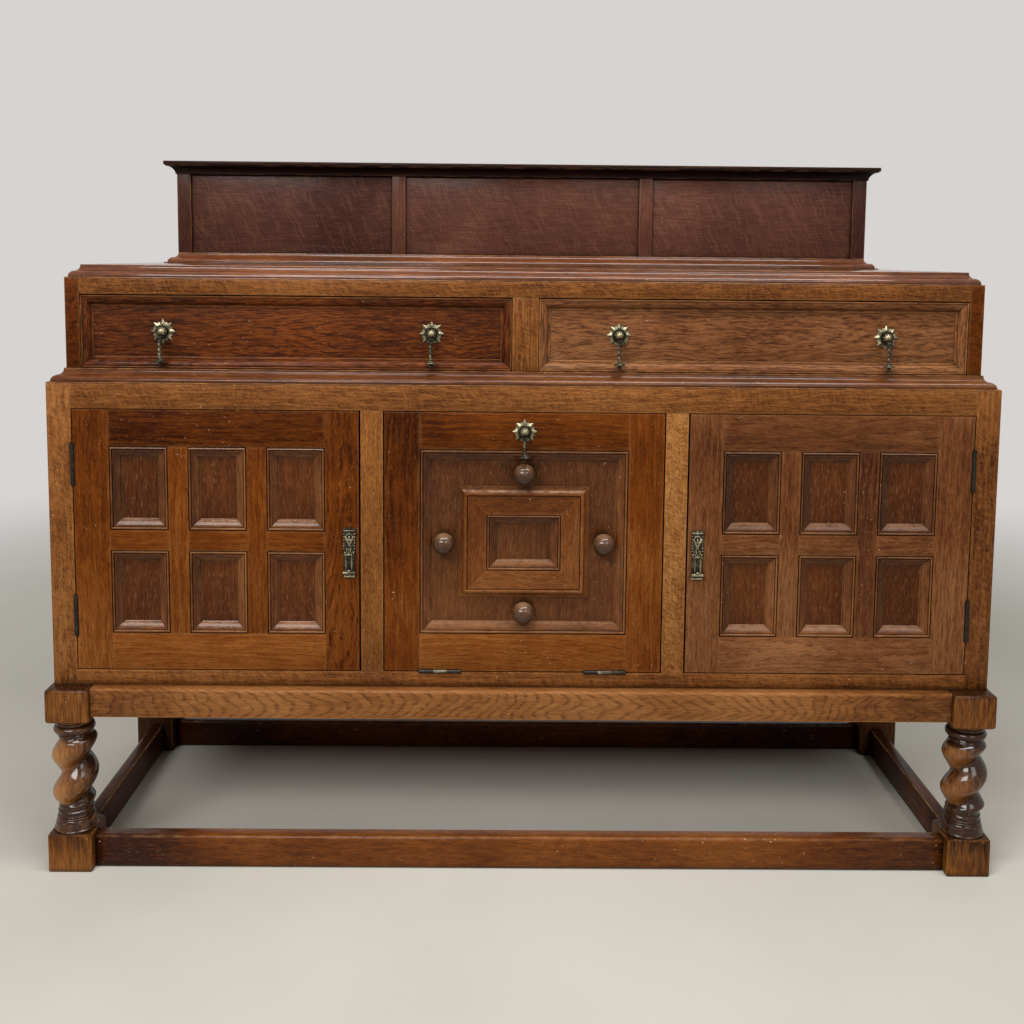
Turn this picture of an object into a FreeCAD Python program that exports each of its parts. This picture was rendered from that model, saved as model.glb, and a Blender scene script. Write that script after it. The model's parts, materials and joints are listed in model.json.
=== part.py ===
import FreeCAD, Part
import math
import os

# Frame: millimetres, +X right, +Y to the back, +Z up; origin on the floor at the middle of the outline.

# Driving dimensions of the whole
WIDTH_OVER_LEGS = 1524.0
DEPTH_OVER_LEGS = 515.0
STAND_TOP = 303.0
CASE_TOP = 792.0
WAIST_TOP = 814.0
DRAWER_CASE_TOP = 957.0
TABLE_TOP = 978.0
GALLERY_FOOT = 998.0
GALLERY_HEAD = 1151.0
OVERALL_HEIGHT = 1175.0

# Set-backs of the front faces, each behind the one below it
CASE_SETBACK = 27.0
DRAWER_SETBACK = 24.0
PANEL_SINK = 9.0
KNOB_LENGTH = 36.0

# Stand
LEG = 70.0
FOOT_TOP = 63.0
TWIST_FOOT = 102.0
TWIST_HEAD = 222.0
BLOCK_FOOT = 247.0
TWIST_RADIUS = 27.0
TWIST_THROW = 7.5
TWIST_PITCH = 62.0
SECTIONS_PER_TURN = 8
LEFT_TWIST_BULGE = 121.5
RIGHT_TWIST_BULGE = 137.0
APRON_FOOT = 256.0
APRON_THICK = 34.0
APRON_SETBACK = 8.0
STRETCHER_FOOT = 2.0
STRETCHER_TOP = 54.0
STRETCHER_THICK = 25.0
FRONT_STRETCHER_SETBACK = 17.0
SIDE_STRETCHER_SETBACK = 26.0
TENON_LENGTH = 18.0
TENON_THICK = 10.0
TENON_SHOULDER = 6.0
NEAR = 1.0
STAND_ROUND = 6.0
STRETCHER_ROUND = 7.0

# Lower case
CASE_WIDTH = 1509.0
POST_WIDTH = 38.0
POST_DEPTH = 45.0
FRAME_THICK = 22.0
BOTTOM_RAIL_TOP = 328.0
TOP_RAIL_FOOT = 752.4
MULLION_WIDTH = 36.0
FLAP_WIDTH = 445.0
DOOR_GAP = 1.2
LOCK_GAP = 2.4
FLAP_SIDE_GAP = 1.7
DOOR_THICK = 21.6
SIDE_RAIL = 60.0
PANEL_THICK = 8.0
GROOVE = 6.0
PARTITION_THICK = 16.0
FLOOR_THICK = 16.0
SHELF_THICK = 14.0
SHELF_TOP = 545.0
SHELF_SETBACK = 40.0
CLEAT = 18.0
STOP_THICK = 12.0
STOP_DROP = 10.0
BACK_THICK = 8.0
WAIST_INSET = 21.0
WAIST_STRIP = 60.0

# Upper case
CASE_SIDE_THICK = 23.5
DRAWER_MUNTIN = 42.0
DRAWER_RAIL_FOOT = 931.8
DRAWER_GAP = 0.8
DRAWER_TOP_GAP = 1.8
KICKER = 20.0
TOP_INSET = 19.0

# Gallery
GALLERY_WIDTH = 1355.0
GALLERY_THICK = 20.0
GALLERY_STILE = 27.0
GALLERY_MUNTIN = 26.0
GALLERY_MUNTIN_X = 243.0
GALLERY_PANEL_SINK = 5.0
GALLERY_FOOT_REACH = 22.0
CORNICE_REACH = 20.5
CORNICE_STEP = 2.0

# Doors
HINGE_STILE = 57.0
LOCK_STILE = 53.8
DOOR_TOP_RAIL = 59.0
DOOR_MID_RAIL = 33.0
DOOR_BOTTOM_RAIL = 60.0
DOOR_MUNTIN = 31.5
DOOR_MOULDING = 18.0

# Flap
FLAP_STILE = 56.5
FLAP_TOP_RAIL = 60.0
FLAP_BOTTOM_RAIL = 62.0
FLAP_MOULDING = 16.0
TABLET_WIDTH = 209.0
TABLET_HEIGHT = 181.0
TABLET_EDGE = 18.0
TABLET_BAND = 45.0
TABLET_MOULDING = 17.0
KNOB_RADIUS = 17.5
KNOB_NECK = 9.0
KNOB_TENON = 5.0
KNOB_TENON_LENGTH = 7.0
KNOB_X = 127.5
KNOB_Z = 112.0

# Drawers
DRAWER_MOULDING = 18.0
DRAWER_FRONT_THICK = 14.0
DRAWER_BOX_LENGTH = 410.0
DRAWER_BOX_HEIGHT = 96.0
DRAWER_SIDE = 10.0
DRAWER_BOTTOM = 6.0
DRAWER_BOTTOM_LIFT = 8.0
DRAWER_BOX_INSET = 1.0
PULL_INSET = 128.0

# Butt hinges
HINGE_LENGTH = 67.0
HINGE_LEAF = 1.8
HINGE_LEAF_WIDTH = 19.0
HINGE_KNUCKLE = 3.2
HINGE_PIN = 1.5
HINGE_PLAY = 0.06
HINGE_CLEAR = 0.4
DOOR_HINGE_INSET = 55.0
FLAP_HINGE_X = 133.0

# Star rosette pulls and plate pulls
STAR_POINTS = 8
STAR_OUTER = 19.0
STAR_INNER = 14.5
STAR_THICK = 2.4
BOSS_RADIUS = 9.0
BOSS_HEIGHT = 16.0
PIVOT_REACH = 20.0
PIVOT_DROP = 9.0
PIVOT_PIN = 1.0
PIVOT_PLAY = 0.06
EYE_RADIUS = 3.0
EYE_THICK = 3.0
LUG_THICK = 1.8
LUG_GAP = 0.4
DROP_LENGTH = 53.0
FLAP_DROP_LENGTH = 45.0
FLAP_PULL_DROP = 30.0
BUTTON_RADIUS = 9.0
STEM_RADIUS = 2.6
PLATE_WIDTH = 20.0
PLATE_HEIGHT = 84.0
PLATE_THICK = 3.0
PLATE_INSET = 15.3
PLATE_DROP = 16.0
PLATE_PIVOT_RISE = 6.0
PLATE_PIVOT_REACH = 9.0
PLATE_DROP_LENGTH = 40.0
PLATE_DROP_RADIUS = 5.0

# Bullet catches
CATCH_RADIUS = 4.5
CATCH_LENGTH = 14.0
CATCH_STAND = 0.7
CATCH_LIP = 1.0

# Worked out from the driving dimensions
DROP_REACH = PIVOT_REACH + BUTTON_RADIUS - CASE_SETBACK
LEG_FRONT = DROP_REACH - (DEPTH_OVER_LEGS + DROP_REACH) / 2
BACK = LEG_FRONT + DEPTH_OVER_LEGS
CASE_FRONT = LEG_FRONT + CASE_SETBACK
DRAWER_FRONT = CASE_FRONT + DRAWER_SETBACK
LEG_SIDE = WIDTH_OVER_LEGS / 2
CASE_SIDE = CASE_WIDTH / 2
UPPER_SIDE = CASE_SIDE - DRAWER_SETBACK
POST_INNER = CASE_SIDE - POST_WIDTH
FLAP_SIDE = FLAP_WIDTH / 2
MULLION_INNER = FLAP_SIDE + FLAP_SIDE_GAP
MULLION_OUTER = MULLION_INNER + MULLION_WIDTH
DOOR_LOCK_EDGE = MULLION_OUTER + LOCK_GAP
DOOR_HINGE_EDGE = POST_INNER - DOOR_GAP
DOOR_FOOT = BOTTOM_RAIL_TOP + DOOR_GAP
DOOR_HEAD = TOP_RAIL_FOOT - DOOR_GAP
HINGE_AXIS_X = POST_INNER - DOOR_GAP / 2
FLAP_AXIS_Z = BOTTOM_RAIL_TOP + DOOR_GAP / 2
DRAWER_INNER = DRAWER_MUNTIN / 2 + DRAWER_GAP
DRAWER_OUTER = UPPER_SIDE - CASE_SIDE_THICK - DRAWER_GAP
DRAWER_FOOT = WAIST_TOP + DRAWER_GAP
DRAWER_HEAD = DRAWER_RAIL_FOOT - DRAWER_TOP_GAP

UP = FreeCAD.Vector(0, 0, 1)
ORIGIN = FreeCAD.Vector(0, 0, 0)
nodes = {}


# Small geometry helpers


def point(x, y, z):
    return FreeCAD.Vector(x, y, z)


def box(x0, x1, y0, y1, z0, z1):
    return Part.makeBox(x1 - x0, y1 - y0, z1 - z0, point(x0, y0, z0))


def mirrored(shape):
    return shape.mirror(ORIGIN, point(1, 0, 0))


def both_sides(shape):
    return [shape, mirrored(shape)]


def handed(shapes, side):
    """Shapes modelled at the right, mirrored where they are wanted at the left."""
    return shapes if side == "right" else [mirrored(shape) for shape in shapes]


def moved(shape, x, y, z):
    copy = shape.copy()
    copy.translate(point(x, y, z))
    return copy


def cylinder(radius, start, along, length):
    return Part.makeCylinder(radius, length, start, along)


def fused(first, others):
    return first.fuse(others).removeSplitter()


def cut_from(shape, tools):
    """The one solid left of a shape when the tools are taken out of it."""
    return shape.cut(tools).Solids[0]


def rounded(shape, radius, wanted):
    """The shape with a round on each edge whose centre satisfies wanted."""
    edges = [edge for edge in shape.Edges if wanted(edge.CenterOfMass)]
    return shape.makeFillet(radius, edges)


def outline_wire(steps, place):
    """A closed wire from steps of (a, b) corners or ((a, b), (a, b)) arcs given by a middle and an end."""
    edges = []
    start = steps[0]
    here = start
    for step in steps[1:] + [start]:
        if isinstance(step[0], tuple):
            middle, end = step
            edges.append(Part.Arc(place(*here), place(*middle), place(*end)).toShape())
        else:
            end = step
            if end != here:
                edges.append(Part.LineSegment(place(*here), place(*end)).toShape())
        here = end
    return Part.Wire(edges)


def extruded(steps, place, along):
    return Part.Face(outline_wire(steps, place)).extrude(along)


def turned(steps):
    """A solid turned about the upright axis from steps of (radius, height)."""
    face = Part.Face(outline_wire(steps, lambda radius, height: point(radius, 0, height)))
    return face.revolve(ORIGIN, UP, 360)


# Mouldings


def weathered_edge(inset, height):
    """A moulded edge that steps in as it rises: lip, shoulder, ogee, top fillet; (inset, height) steps."""
    shoulder = inset * 0.24
    lip = height * 0.08
    fillet = height * 0.18
    top_fillet = height * 0.12
    bend_inset = (shoulder + inset) / 2
    bend_height = (fillet + height - top_fillet) / 2
    low_middle = (shoulder + (bend_inset - shoulder) * 0.32, fillet + (bend_height - fillet) * 0.68)
    ogee_head = height - top_fillet
    high_middle = (bend_inset + (inset - bend_inset) * 0.68, bend_height + (ogee_head - bend_height) * 0.32)
    return [
        (0.0, 0.0),
        (0.0, lip),
        (shoulder, lip),
        (shoulder, fillet),
        (low_middle, (bend_inset, bend_height)),
        (high_middle, (inset, ogee_head)),
        (inset, height),
    ]


def cornice_edge(reach, height):
    """A cornice edge that steps out as it rises: fillet, cove, bead, square top; (inset, height) steps."""
    bead = height * 0.62
    cove_foot = height * 0.12
    return [
        (reach, 0.0),
        (reach * 0.88, 0.0),
        (reach * 0.88, cove_foot),
        ((reach * 0.62, height * 0.46), (reach * 0.26, bead)),
        (reach * 0.12, bead),
        (reach * 0.12, bead + CORNICE_STEP),
        (0.0, bead + CORNICE_STEP),
        (0.0, height),
    ]


def moulded_slab(half_width, front, back, foot, edge):
    """A slab with one moulded edge run along its front and both ends, mitred at the corners."""

    def across(inset, height):
        return point(-half_width, front + inset, foot + height)

    top_height = edge[-1][1]
    inner = (half_width, top_height), (half_width, 0.0)
    depth = back - front
    section = edge + [(depth, top_height), (depth, 0.0)]
    along_x = extruded(section, across, point(2 * half_width, 0, 0))

    def right_end(inset, height):
        return point(half_width - inset, front, foot + height)

    right = extruded(edge + list(inner), right_end, point(0, depth, 0))
    return along_x.common(right.fuse(mirrored(right))).Solids[0]


def sunk_moulding(width, sink):
    """A panel moulding that falls from frame to panel: bead, ovolo, fillet; (inward, depth) steps."""
    bead = width * 0.14
    fillet = width * 0.78
    return [
        (0.0, sink),
        (0.0, 0.0),
        (bead, 0.0),
        (bead, sink * 0.16),
        ((width * 0.54, sink * 0.26), (fillet, sink * 0.74)),
        (fillet, sink * 0.86),
        (width, sink * 0.86),
        (width, sink),
    ]


def tablet_moulding(edge, band, height):
    """The raised tablet's side: fillet, ogee and flat band; (inward, depth) steps, depth 0 at the band."""
    step = edge * 0.16
    return [
        (0.0, height),
        (0.0, height * 0.78),
        (step, height * 0.78),
        ((edge * 0.62, height * 0.56), (edge * 0.8, height * 0.2)),
        (edge * 0.8, 0.0),
        (band, 0.0),
        (band, height),
    ]


def mitred_frame(left, right, foot, head, face, steps):
    """Four mitred strips round a rectangle; steps are (inward, depth behind the face)."""
    width = max(step[0] for step in steps if not isinstance(step[0], tuple))
    deep = max(step[1] for step in steps if not isinstance(step[0], tuple))
    wide = point(right - left, 0, 0)
    tall = point(0, 0, head - foot)
    inner = ((left + width, foot + width), (right - width, foot + width), (right - width, head - width),
             (left + width, head - width))
    outer = ((left, foot), (right, foot), (right, head), (left, head))
    runs = (
        (lambda u, d: point(left, face + d, foot + u), wide),
        (lambda u, d: point(right - u, face + d, foot), tall),
        (lambda u, d: point(left, face + d, head - u), wide),
        (lambda u, d: point(left + u, face + d, foot), tall),
    )
    strips = []
    for side, (place, along) in enumerate(runs):
        after = (side + 1) % 4
        corners = [outer[side], outer[after], inner[after], inner[side]]
        keep = extruded(corners, lambda x, z: point(x, face - deep, z), point(0, 3 * deep, 0))
        strips.append(extruded(steps, place, along).common(keep).Solids[0])
    return strips


# Stand


def twisted_column(bulge_height):
    """A barley twist: round sections up a right-hand helix, drawn in to the axis at both ends."""
    length = TWIST_HEAD - TWIST_FOOT
    count = round(length / TWIST_PITCH * SECTIONS_PER_TURN)
    sections = []
    for index in range(count + 1):
        share = index / count
        height = TWIST_FOOT + share * length
        turn = math.pi + 2 * math.pi * (height - bulge_height) / TWIST_PITCH
        throw = TWIST_THROW * min(1.0, math.sin(math.pi * share) / math.sin(math.pi / 6))
        centre = point(throw * math.cos(turn), throw * math.sin(turn), height)
        sections.append(Part.Wire(Part.makeCircle(TWIST_RADIUS, centre, UP)))
    return Part.makeLoft(sections, True)


def bell_and_rings():
    half = LEG / 2
    ring_foot = FOOT_TOP + 26.0
    return turned([
        (0.0, FOOT_TOP),
        (half - 1.0, FOOT_TOP),
        ((half - 6.0, FOOT_TOP + 9.0), (half - 7.5, FOOT_TOP + 20.0)),
        (half - 4.5, FOOT_TOP + 21.0),
        ((half - 2.5, FOOT_TOP + 23.5), (half - 4.5, ring_foot)),
        (TWIST_RADIUS, ring_foot + 2.0),
        (TWIST_RADIUS, TWIST_FOOT),
        (0.0, TWIST_FOOT),
    ])


def neck_ring():
    half = LEG / 2
    return turned([
        (0.0, TWIST_HEAD),
        (TWIST_RADIUS, TWIST_HEAD),
        (TWIST_RADIUS, TWIST_HEAD + 7.0),
        ((half - 4.5, TWIST_HEAD + 11.5), (TWIST_RADIUS, TWIST_HEAD + 16.0)),
        (half - 1.0, BLOCK_FOOT),
        (0.0, BLOCK_FOOT),
    ])


def leg_box(side_x, front, foot, head):
    return box(side_x - LEG, side_x, front, front + LEG, foot, head)


def front_leg(side, bulge_height):
    """One front leg; side is +1 at the right and -1 at the left."""
    axis_x = side * (LEG_SIDE - LEG / 2)
    axis_y = LEG_FRONT + LEG / 2
    outer_x = axis_x + LEG / 2
    foot = leg_box(outer_x, LEG_FRONT, 0.0, FOOT_TOP)
    block = leg_box(outer_x, LEG_FRONT, BLOCK_FOOT, STAND_TOP)
    shown = side * (LEG_SIDE - NEAR)
    block = rounded(
        block,
        STAND_ROUND,
        lambda c: c.z > STAND_TOP - NEAR and (c.y < LEG_FRONT + NEAR or side * c.x > side * shown),
    )
    pieces = [moved(shape, axis_x, axis_y, 0) for shape in
              (bell_and_rings(), twisted_column(bulge_height), neck_ring())]
    return fused(foot, pieces + [block])


def tenoned_rail(x0, x1, y0, y1, foot, head):
    """A rail along X with a stub tenon at each end."""
    middle = (y0 + y1) / 2
    tenon = box(x0 - TENON_LENGTH, x1 + TENON_LENGTH, middle - TENON_THICK / 2, middle + TENON_THICK / 2,
                foot + TENON_SHOULDER, head - 2 * TENON_SHOULDER)
    return box(x0, x1, y0, y1, foot, head), tenon


def tenoned_side_rail(x0, x1, y0, y1, foot, head):
    """A rail along Y with a stub tenon at each end, its tenons above those of the rails along X."""
    middle = (x0 + x1) / 2
    tenon = box(middle - TENON_THICK / 2, middle + TENON_THICK / 2, y0 - TENON_LENGTH, y1 + TENON_LENGTH,
                foot + TENON_SHOULDER, head - 2 * TENON_SHOULDER)
    return box(x0, x1, y0, y1, foot, head), tenon


def build_stand():
    inner_x = LEG_SIDE - LEG
    leg_back = LEG_FRONT + LEG
    rear_front = BACK - LEG
    rear_middle = BACK - LEG / 2

    def across(front, thick, foot, head, round_radius):
        rail, tenon = tenoned_rail(-inner_x, inner_x, front, front + thick, foot, head)
        rail = rounded(
            rail,
            round_radius,
            lambda c: c.z > head - NEAR and abs(c.x) < NEAR and c.y < front + NEAR,
        )
        return fused(rail, [tenon])

    def along(outer_x, thick, foot, head, round_radius):
        rail, tenon = tenoned_side_rail(outer_x - thick, outer_x, leg_back, rear_front, foot, head)
        rail = rounded(rail, round_radius, lambda c: c.z > head - NEAR and c.x > outer_x - NEAR)
        return fused(rail, [tenon])

    front_apron = across(LEG_FRONT + APRON_SETBACK, APRON_THICK, APRON_FOOT, STAND_TOP, STAND_ROUND)
    rear_apron = across(rear_middle - APRON_THICK / 2, APRON_THICK, APRON_FOOT, STAND_TOP, STAND_ROUND)
    side_apron = along(LEG_SIDE - APRON_SETBACK, APRON_THICK, APRON_FOOT, STAND_TOP, STAND_ROUND)
    aprons = [front_apron, rear_apron] + both_sides(side_apron)

    low, top, thick = STRETCHER_FOOT, STRETCHER_TOP, STRETCHER_THICK
    front_stretcher = across(LEG_FRONT + FRONT_STRETCHER_SETBACK, thick, low, top, STRETCHER_ROUND)
    rear_stretcher = across(rear_middle - thick / 2, thick, low, top, STRETCHER_ROUND)
    side_stretcher = along(LEG_SIDE - SIDE_STRETCHER_SETBACK, thick, low, top, STRETCHER_ROUND)
    stretchers = [front_stretcher, rear_stretcher] + both_sides(side_stretcher)

    rails = aprons + stretchers
    nodes["front_left_leg"] = [cut_from(front_leg(-1, LEFT_TWIST_BULGE), rails)]
    nodes["front_right_leg"] = [cut_from(front_leg(1, RIGHT_TWIST_BULGE), rails)]
    rear_leg = leg_box(LEG_SIDE, rear_front, 0.0, STAND_TOP)
    nodes["rear_legs"] = [cut_from(leg, rails) for leg in both_sides(rear_leg)]
    nodes["aprons"] = aprons
    nodes["stretchers"] = stretchers


# Butt hinges, made about the upright axis with the case leaf at +X and the moving leaf at -X


def hinge_parts():
    """Case leaf, moving leaf, pin and the knuckle's clearance in the wood, centred on the origin."""
    third = HINGE_LENGTH / 3
    half = HINGE_LENGTH / 2
    joint = HINGE_CLEAR / 2
    start = HINGE_KNUCKLE + HINGE_CLEAR

    def leaf(side, spans, bore):
        near = min(side * joint, side * (joint + HINGE_LEAF))
        plate = box(near, near + HINGE_LEAF, start, HINGE_LEAF_WIDTH, -half, half)
        joined = []
        for low, high in spans:
            joined.append(box(near, near + HINGE_LEAF, 0, start, low, high))
            joined.append(cylinder(HINGE_KNUCKLE, point(0, 0, low), UP, high - low))
        hole = cylinder(bore, point(0, 0, -half), UP, HINGE_LENGTH)
        return cut_from(fused(plate, joined), [hole])

    case_leaf = leaf(1, ((-half, -half + third), (half - third, half)), HINGE_PIN)
    middle_third = (-half + third + HINGE_CLEAR, half - third - HINGE_CLEAR)
    moving_leaf = leaf(-1, (middle_third,), HINGE_PIN + HINGE_PLAY)
    pin = cylinder(HINGE_PIN, point(0, 0, -half), UP, HINGE_LENGTH)
    room = cylinder(start, point(0, 0, -half - HINGE_CLEAR), UP, HINGE_LENGTH + 2 * HINGE_CLEAR)
    return {"case": case_leaf, "moving": moving_leaf, "pin": pin, "room": room}


def placed_hinges():
    """All hinge pieces in place: the right door's, its mirror image for the left door, and the flap's."""
    kit = hinge_parts()
    from_edge = DOOR_HINGE_INSET + HINGE_LENGTH / 2
    heights = (DOOR_FOOT + from_edge, DOOR_HEAD - from_edge)
    hinges = {}
    for name, shape in kit.items():
        right = [moved(shape, HINGE_AXIS_X, CASE_FRONT, height) for height in heights]
        laid = shape.copy()
        laid.rotate(ORIGIN, point(0, 1, 0), 90)
        flap = [moved(laid, x, CASE_FRONT, FLAP_AXIS_Z) for x in (-FLAP_HINGE_X, FLAP_HINGE_X)]
        hinges[name] = {"right": right, "left": [mirrored(item) for item in right], "flap": flap}
    return hinges


def hinge_tools(hinges, leaf, place):
    return hinges[leaf][place] + hinges["room"][place]


# Lower case


def build_lower_case(hinges):
    front_post_back = CASE_FRONT + POST_DEPTH
    rear_post_front = BACK - POST_DEPTH
    frame_back = CASE_FRONT + FRAME_THICK
    back_front = BACK - BACK_THICK
    panel_x = CASE_SIDE - FRAME_THICK / 2 - PANEL_THICK / 2

    panel = box(panel_x, panel_x + PANEL_THICK, front_post_back - GROOVE, rear_post_front + GROOVE,
                STAND_TOP + SIDE_RAIL - GROOVE, CASE_TOP - SIDE_RAIL + GROOVE)
    panels = both_sides(panel)
    right_tools = panels + hinge_tools(hinges, "case", "right")
    left_tools = panels + hinge_tools(hinges, "case", "left")
    front_post = box(POST_INNER, CASE_SIDE, CASE_FRONT, front_post_back, STAND_TOP, CASE_TOP)
    rear_post = box(POST_INNER, CASE_SIDE, rear_post_front, BACK, STAND_TOP, CASE_TOP)
    nodes["case_posts"] = [
        cut_from(front_post, right_tools),
        cut_from(mirrored(front_post), left_tools),
        cut_from(rear_post, panels),
        cut_from(mirrored(rear_post), panels),
    ]
    rails = []
    for low in (STAND_TOP, CASE_TOP - SIDE_RAIL):
        rail = box(CASE_SIDE - FRAME_THICK, CASE_SIDE, front_post_back, rear_post_front, low, low + SIDE_RAIL)
        rails += both_sides(cut_from(rail, panels))
    nodes["case_side_rails"] = rails
    nodes["case_side_panels"] = panels

    catches = build_catches()
    top_rail = box(-POST_INNER, POST_INNER, CASE_FRONT, frame_back, TOP_RAIL_FOOT, CASE_TOP)
    bottom_rail = box(-POST_INNER, POST_INNER, CASE_FRONT, frame_back, STAND_TOP, BOTTOM_RAIL_TOP)
    nodes["cupboard_rails"] = [
        cut_from(top_rail, catches),
        cut_from(bottom_rail, hinge_tools(hinges, "case", "flap")),
    ]
    mullion = box(MULLION_INNER, MULLION_OUTER, CASE_FRONT, frame_back, BOTTOM_RAIL_TOP, TOP_RAIL_FOOT)
    nodes["cupboard_mullions"] = both_sides(mullion)

    partition_x = (MULLION_INNER + MULLION_OUTER - PARTITION_THICK) / 2
    shelf_inner = partition_x + PARTITION_THICK
    partition = box(partition_x, shelf_inner, frame_back, back_front, BOTTOM_RAIL_TOP, CASE_TOP)
    nodes["cupboard_partitions"] = both_sides(partition)

    side_inner = CASE_SIDE - FRAME_THICK
    floor_foot = BOTTOM_RAIL_TOP - FLOOR_THICK
    floor = box(-POST_INNER, POST_INNER, frame_back, back_front, floor_foot, BOTTOM_RAIL_TOP)
    wings = box(-side_inner, side_inner, front_post_back, rear_post_front, floor_foot, BOTTOM_RAIL_TOP)
    nodes["cupboard_floor"] = [fused(floor, [wings])]

    shelf_front = CASE_FRONT + SHELF_SETBACK + FRAME_THICK
    shelf = box(shelf_inner, POST_INNER, shelf_front, back_front, SHELF_TOP - SHELF_THICK, SHELF_TOP)
    nodes["cupboard_shelves"] = both_sides(shelf)
    cleat_head = SHELF_TOP - SHELF_THICK
    cleat_foot = cleat_head - CLEAT
    cleat_front = shelf_front + CLEAT
    inner_cleat = box(shelf_inner, shelf_inner + CLEAT, cleat_front, back_front, cleat_foot, cleat_head)
    cleat_inner = POST_INNER - CLEAT
    outer_cleat = box(cleat_inner, side_inner, front_post_back, rear_post_front, cleat_foot, cleat_head)
    nodes["shelf_cleats"] = both_sides(inner_cleat) + both_sides(outer_cleat)

    stop_foot = TOP_RAIL_FOOT - STOP_DROP
    stop_back = frame_back + STOP_THICK
    door_stop = box(MULLION_OUTER + CLEAT, POST_INNER - CLEAT, frame_back, stop_back, stop_foot, CASE_TOP)
    flap_stop = box(CLEAT - FLAP_SIDE, FLAP_SIDE - CLEAT, frame_back, stop_back, stop_foot, CASE_TOP)
    nodes["door_stops"] = both_sides(door_stop) + [flap_stop]

    lower_back = box(-POST_INNER, POST_INNER, back_front, BACK, STAND_TOP, CASE_TOP)
    upper_inner = UPPER_SIDE - CASE_SIDE_THICK
    upper_back = box(-upper_inner, upper_inner, back_front, BACK, WAIST_TOP, DRAWER_CASE_TOP)
    nodes["case_backs"] = [lower_back, upper_back]
    nodes["bullet_catches"] = catches
    nodes["case_hinge_leaves"] = hinges["case"]["right"] + hinges["case"]["left"] + hinges["case"]["flap"]
    nodes["hinge_pins"] = hinges["pin"]["right"] + hinges["pin"]["left"] + hinges["pin"]["flap"]


def build_catches():
    """Bullet catches let into the underside of the top rail: over each door's lock edge and the flap."""
    catch_y = CASE_FRONT + FRAME_THICK / 2
    catch_x = DOOR_LOCK_EDGE + LOCK_STILE / 2
    barrel = cylinder(CATCH_RADIUS, point(0, 0, TOP_RAIL_FOOT), UP, CATCH_LENGTH)
    ball_radius = CATCH_RADIUS - CATCH_LIP
    ball = Part.makeSphere(ball_radius, point(0, 0, TOP_RAIL_FOOT + ball_radius - CATCH_STAND))
    catch = fused(barrel, [ball])
    return [moved(catch, x, catch_y, 0) for x in (-catch_x, 0.0, catch_x)]


def build_waist():
    edge = weathered_edge(WAIST_INSET, WAIST_TOP - CASE_TOP)
    slab = moulded_slab(CASE_SIDE, CASE_FRONT, BACK, CASE_TOP, edge)
    inner_x = CASE_SIDE - WAIST_STRIP
    inner_y = CASE_FRONT + WAIST_STRIP
    corner = (CASE_SIDE, CASE_FRONT)
    inner_corner = (inner_x, inner_y)
    front_plan = [(-CASE_SIDE, CASE_FRONT), corner, inner_corner, (-inner_x, inner_y)]
    side_plan = [corner, (CASE_SIDE, BACK), (inner_x, BACK), inner_corner]
    tall = point(0, 0, WAIST_TOP - CASE_TOP)
    front_keep, side_keep = (extruded(plan, lambda x, y: point(x, y, CASE_TOP), tall) for plan in
                             (front_plan, side_plan))
    front = slab.common(front_keep).Solids[0]
    side = slab.common(side_keep).Solids[0]
    nodes["waist_moulding"] = [front] + both_sides(side)
    nodes["dust_board"] = [box(-inner_x, inner_x, inner_y, BACK, CASE_TOP, WAIST_TOP)]


# Upper case and gallery


def build_upper_case():
    inner_x = UPPER_SIDE - CASE_SIDE_THICK
    frame_back = DRAWER_FRONT + FRAME_THICK
    back_front = BACK - BACK_THICK
    half_muntin = DRAWER_MUNTIN / 2
    side = box(inner_x, UPPER_SIDE, DRAWER_FRONT, BACK, WAIST_TOP, DRAWER_CASE_TOP)
    nodes["drawer_case_sides"] = both_sides(side)
    nodes["drawer_case_rail"] = [
        box(-inner_x, inner_x, DRAWER_FRONT, frame_back, DRAWER_RAIL_FOOT, DRAWER_CASE_TOP)
    ]
    nodes["drawer_muntin"] = [
        box(-half_muntin, half_muntin, DRAWER_FRONT, frame_back, WAIST_TOP, DRAWER_RAIL_FOOT)
    ]
    guide = box(-half_muntin, half_muntin, frame_back, back_front, WAIST_TOP, WAIST_TOP + KICKER)
    kicker = box(inner_x - KICKER, inner_x, frame_back, back_front, DRAWER_RAIL_FOOT, DRAWER_CASE_TOP)
    reach = half_muntin + KICKER
    middle_kicker = box(-reach, reach, frame_back, back_front, DRAWER_RAIL_FOOT, DRAWER_CASE_TOP)
    nodes["drawer_runners"] = [guide, middle_kicker] + both_sides(kicker)
    top_edge = weathered_edge(TOP_INSET, TABLE_TOP - DRAWER_CASE_TOP)
    nodes["top_board"] = [moulded_slab(UPPER_SIDE, DRAWER_FRONT, BACK, DRAWER_CASE_TOP, top_edge)]


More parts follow.
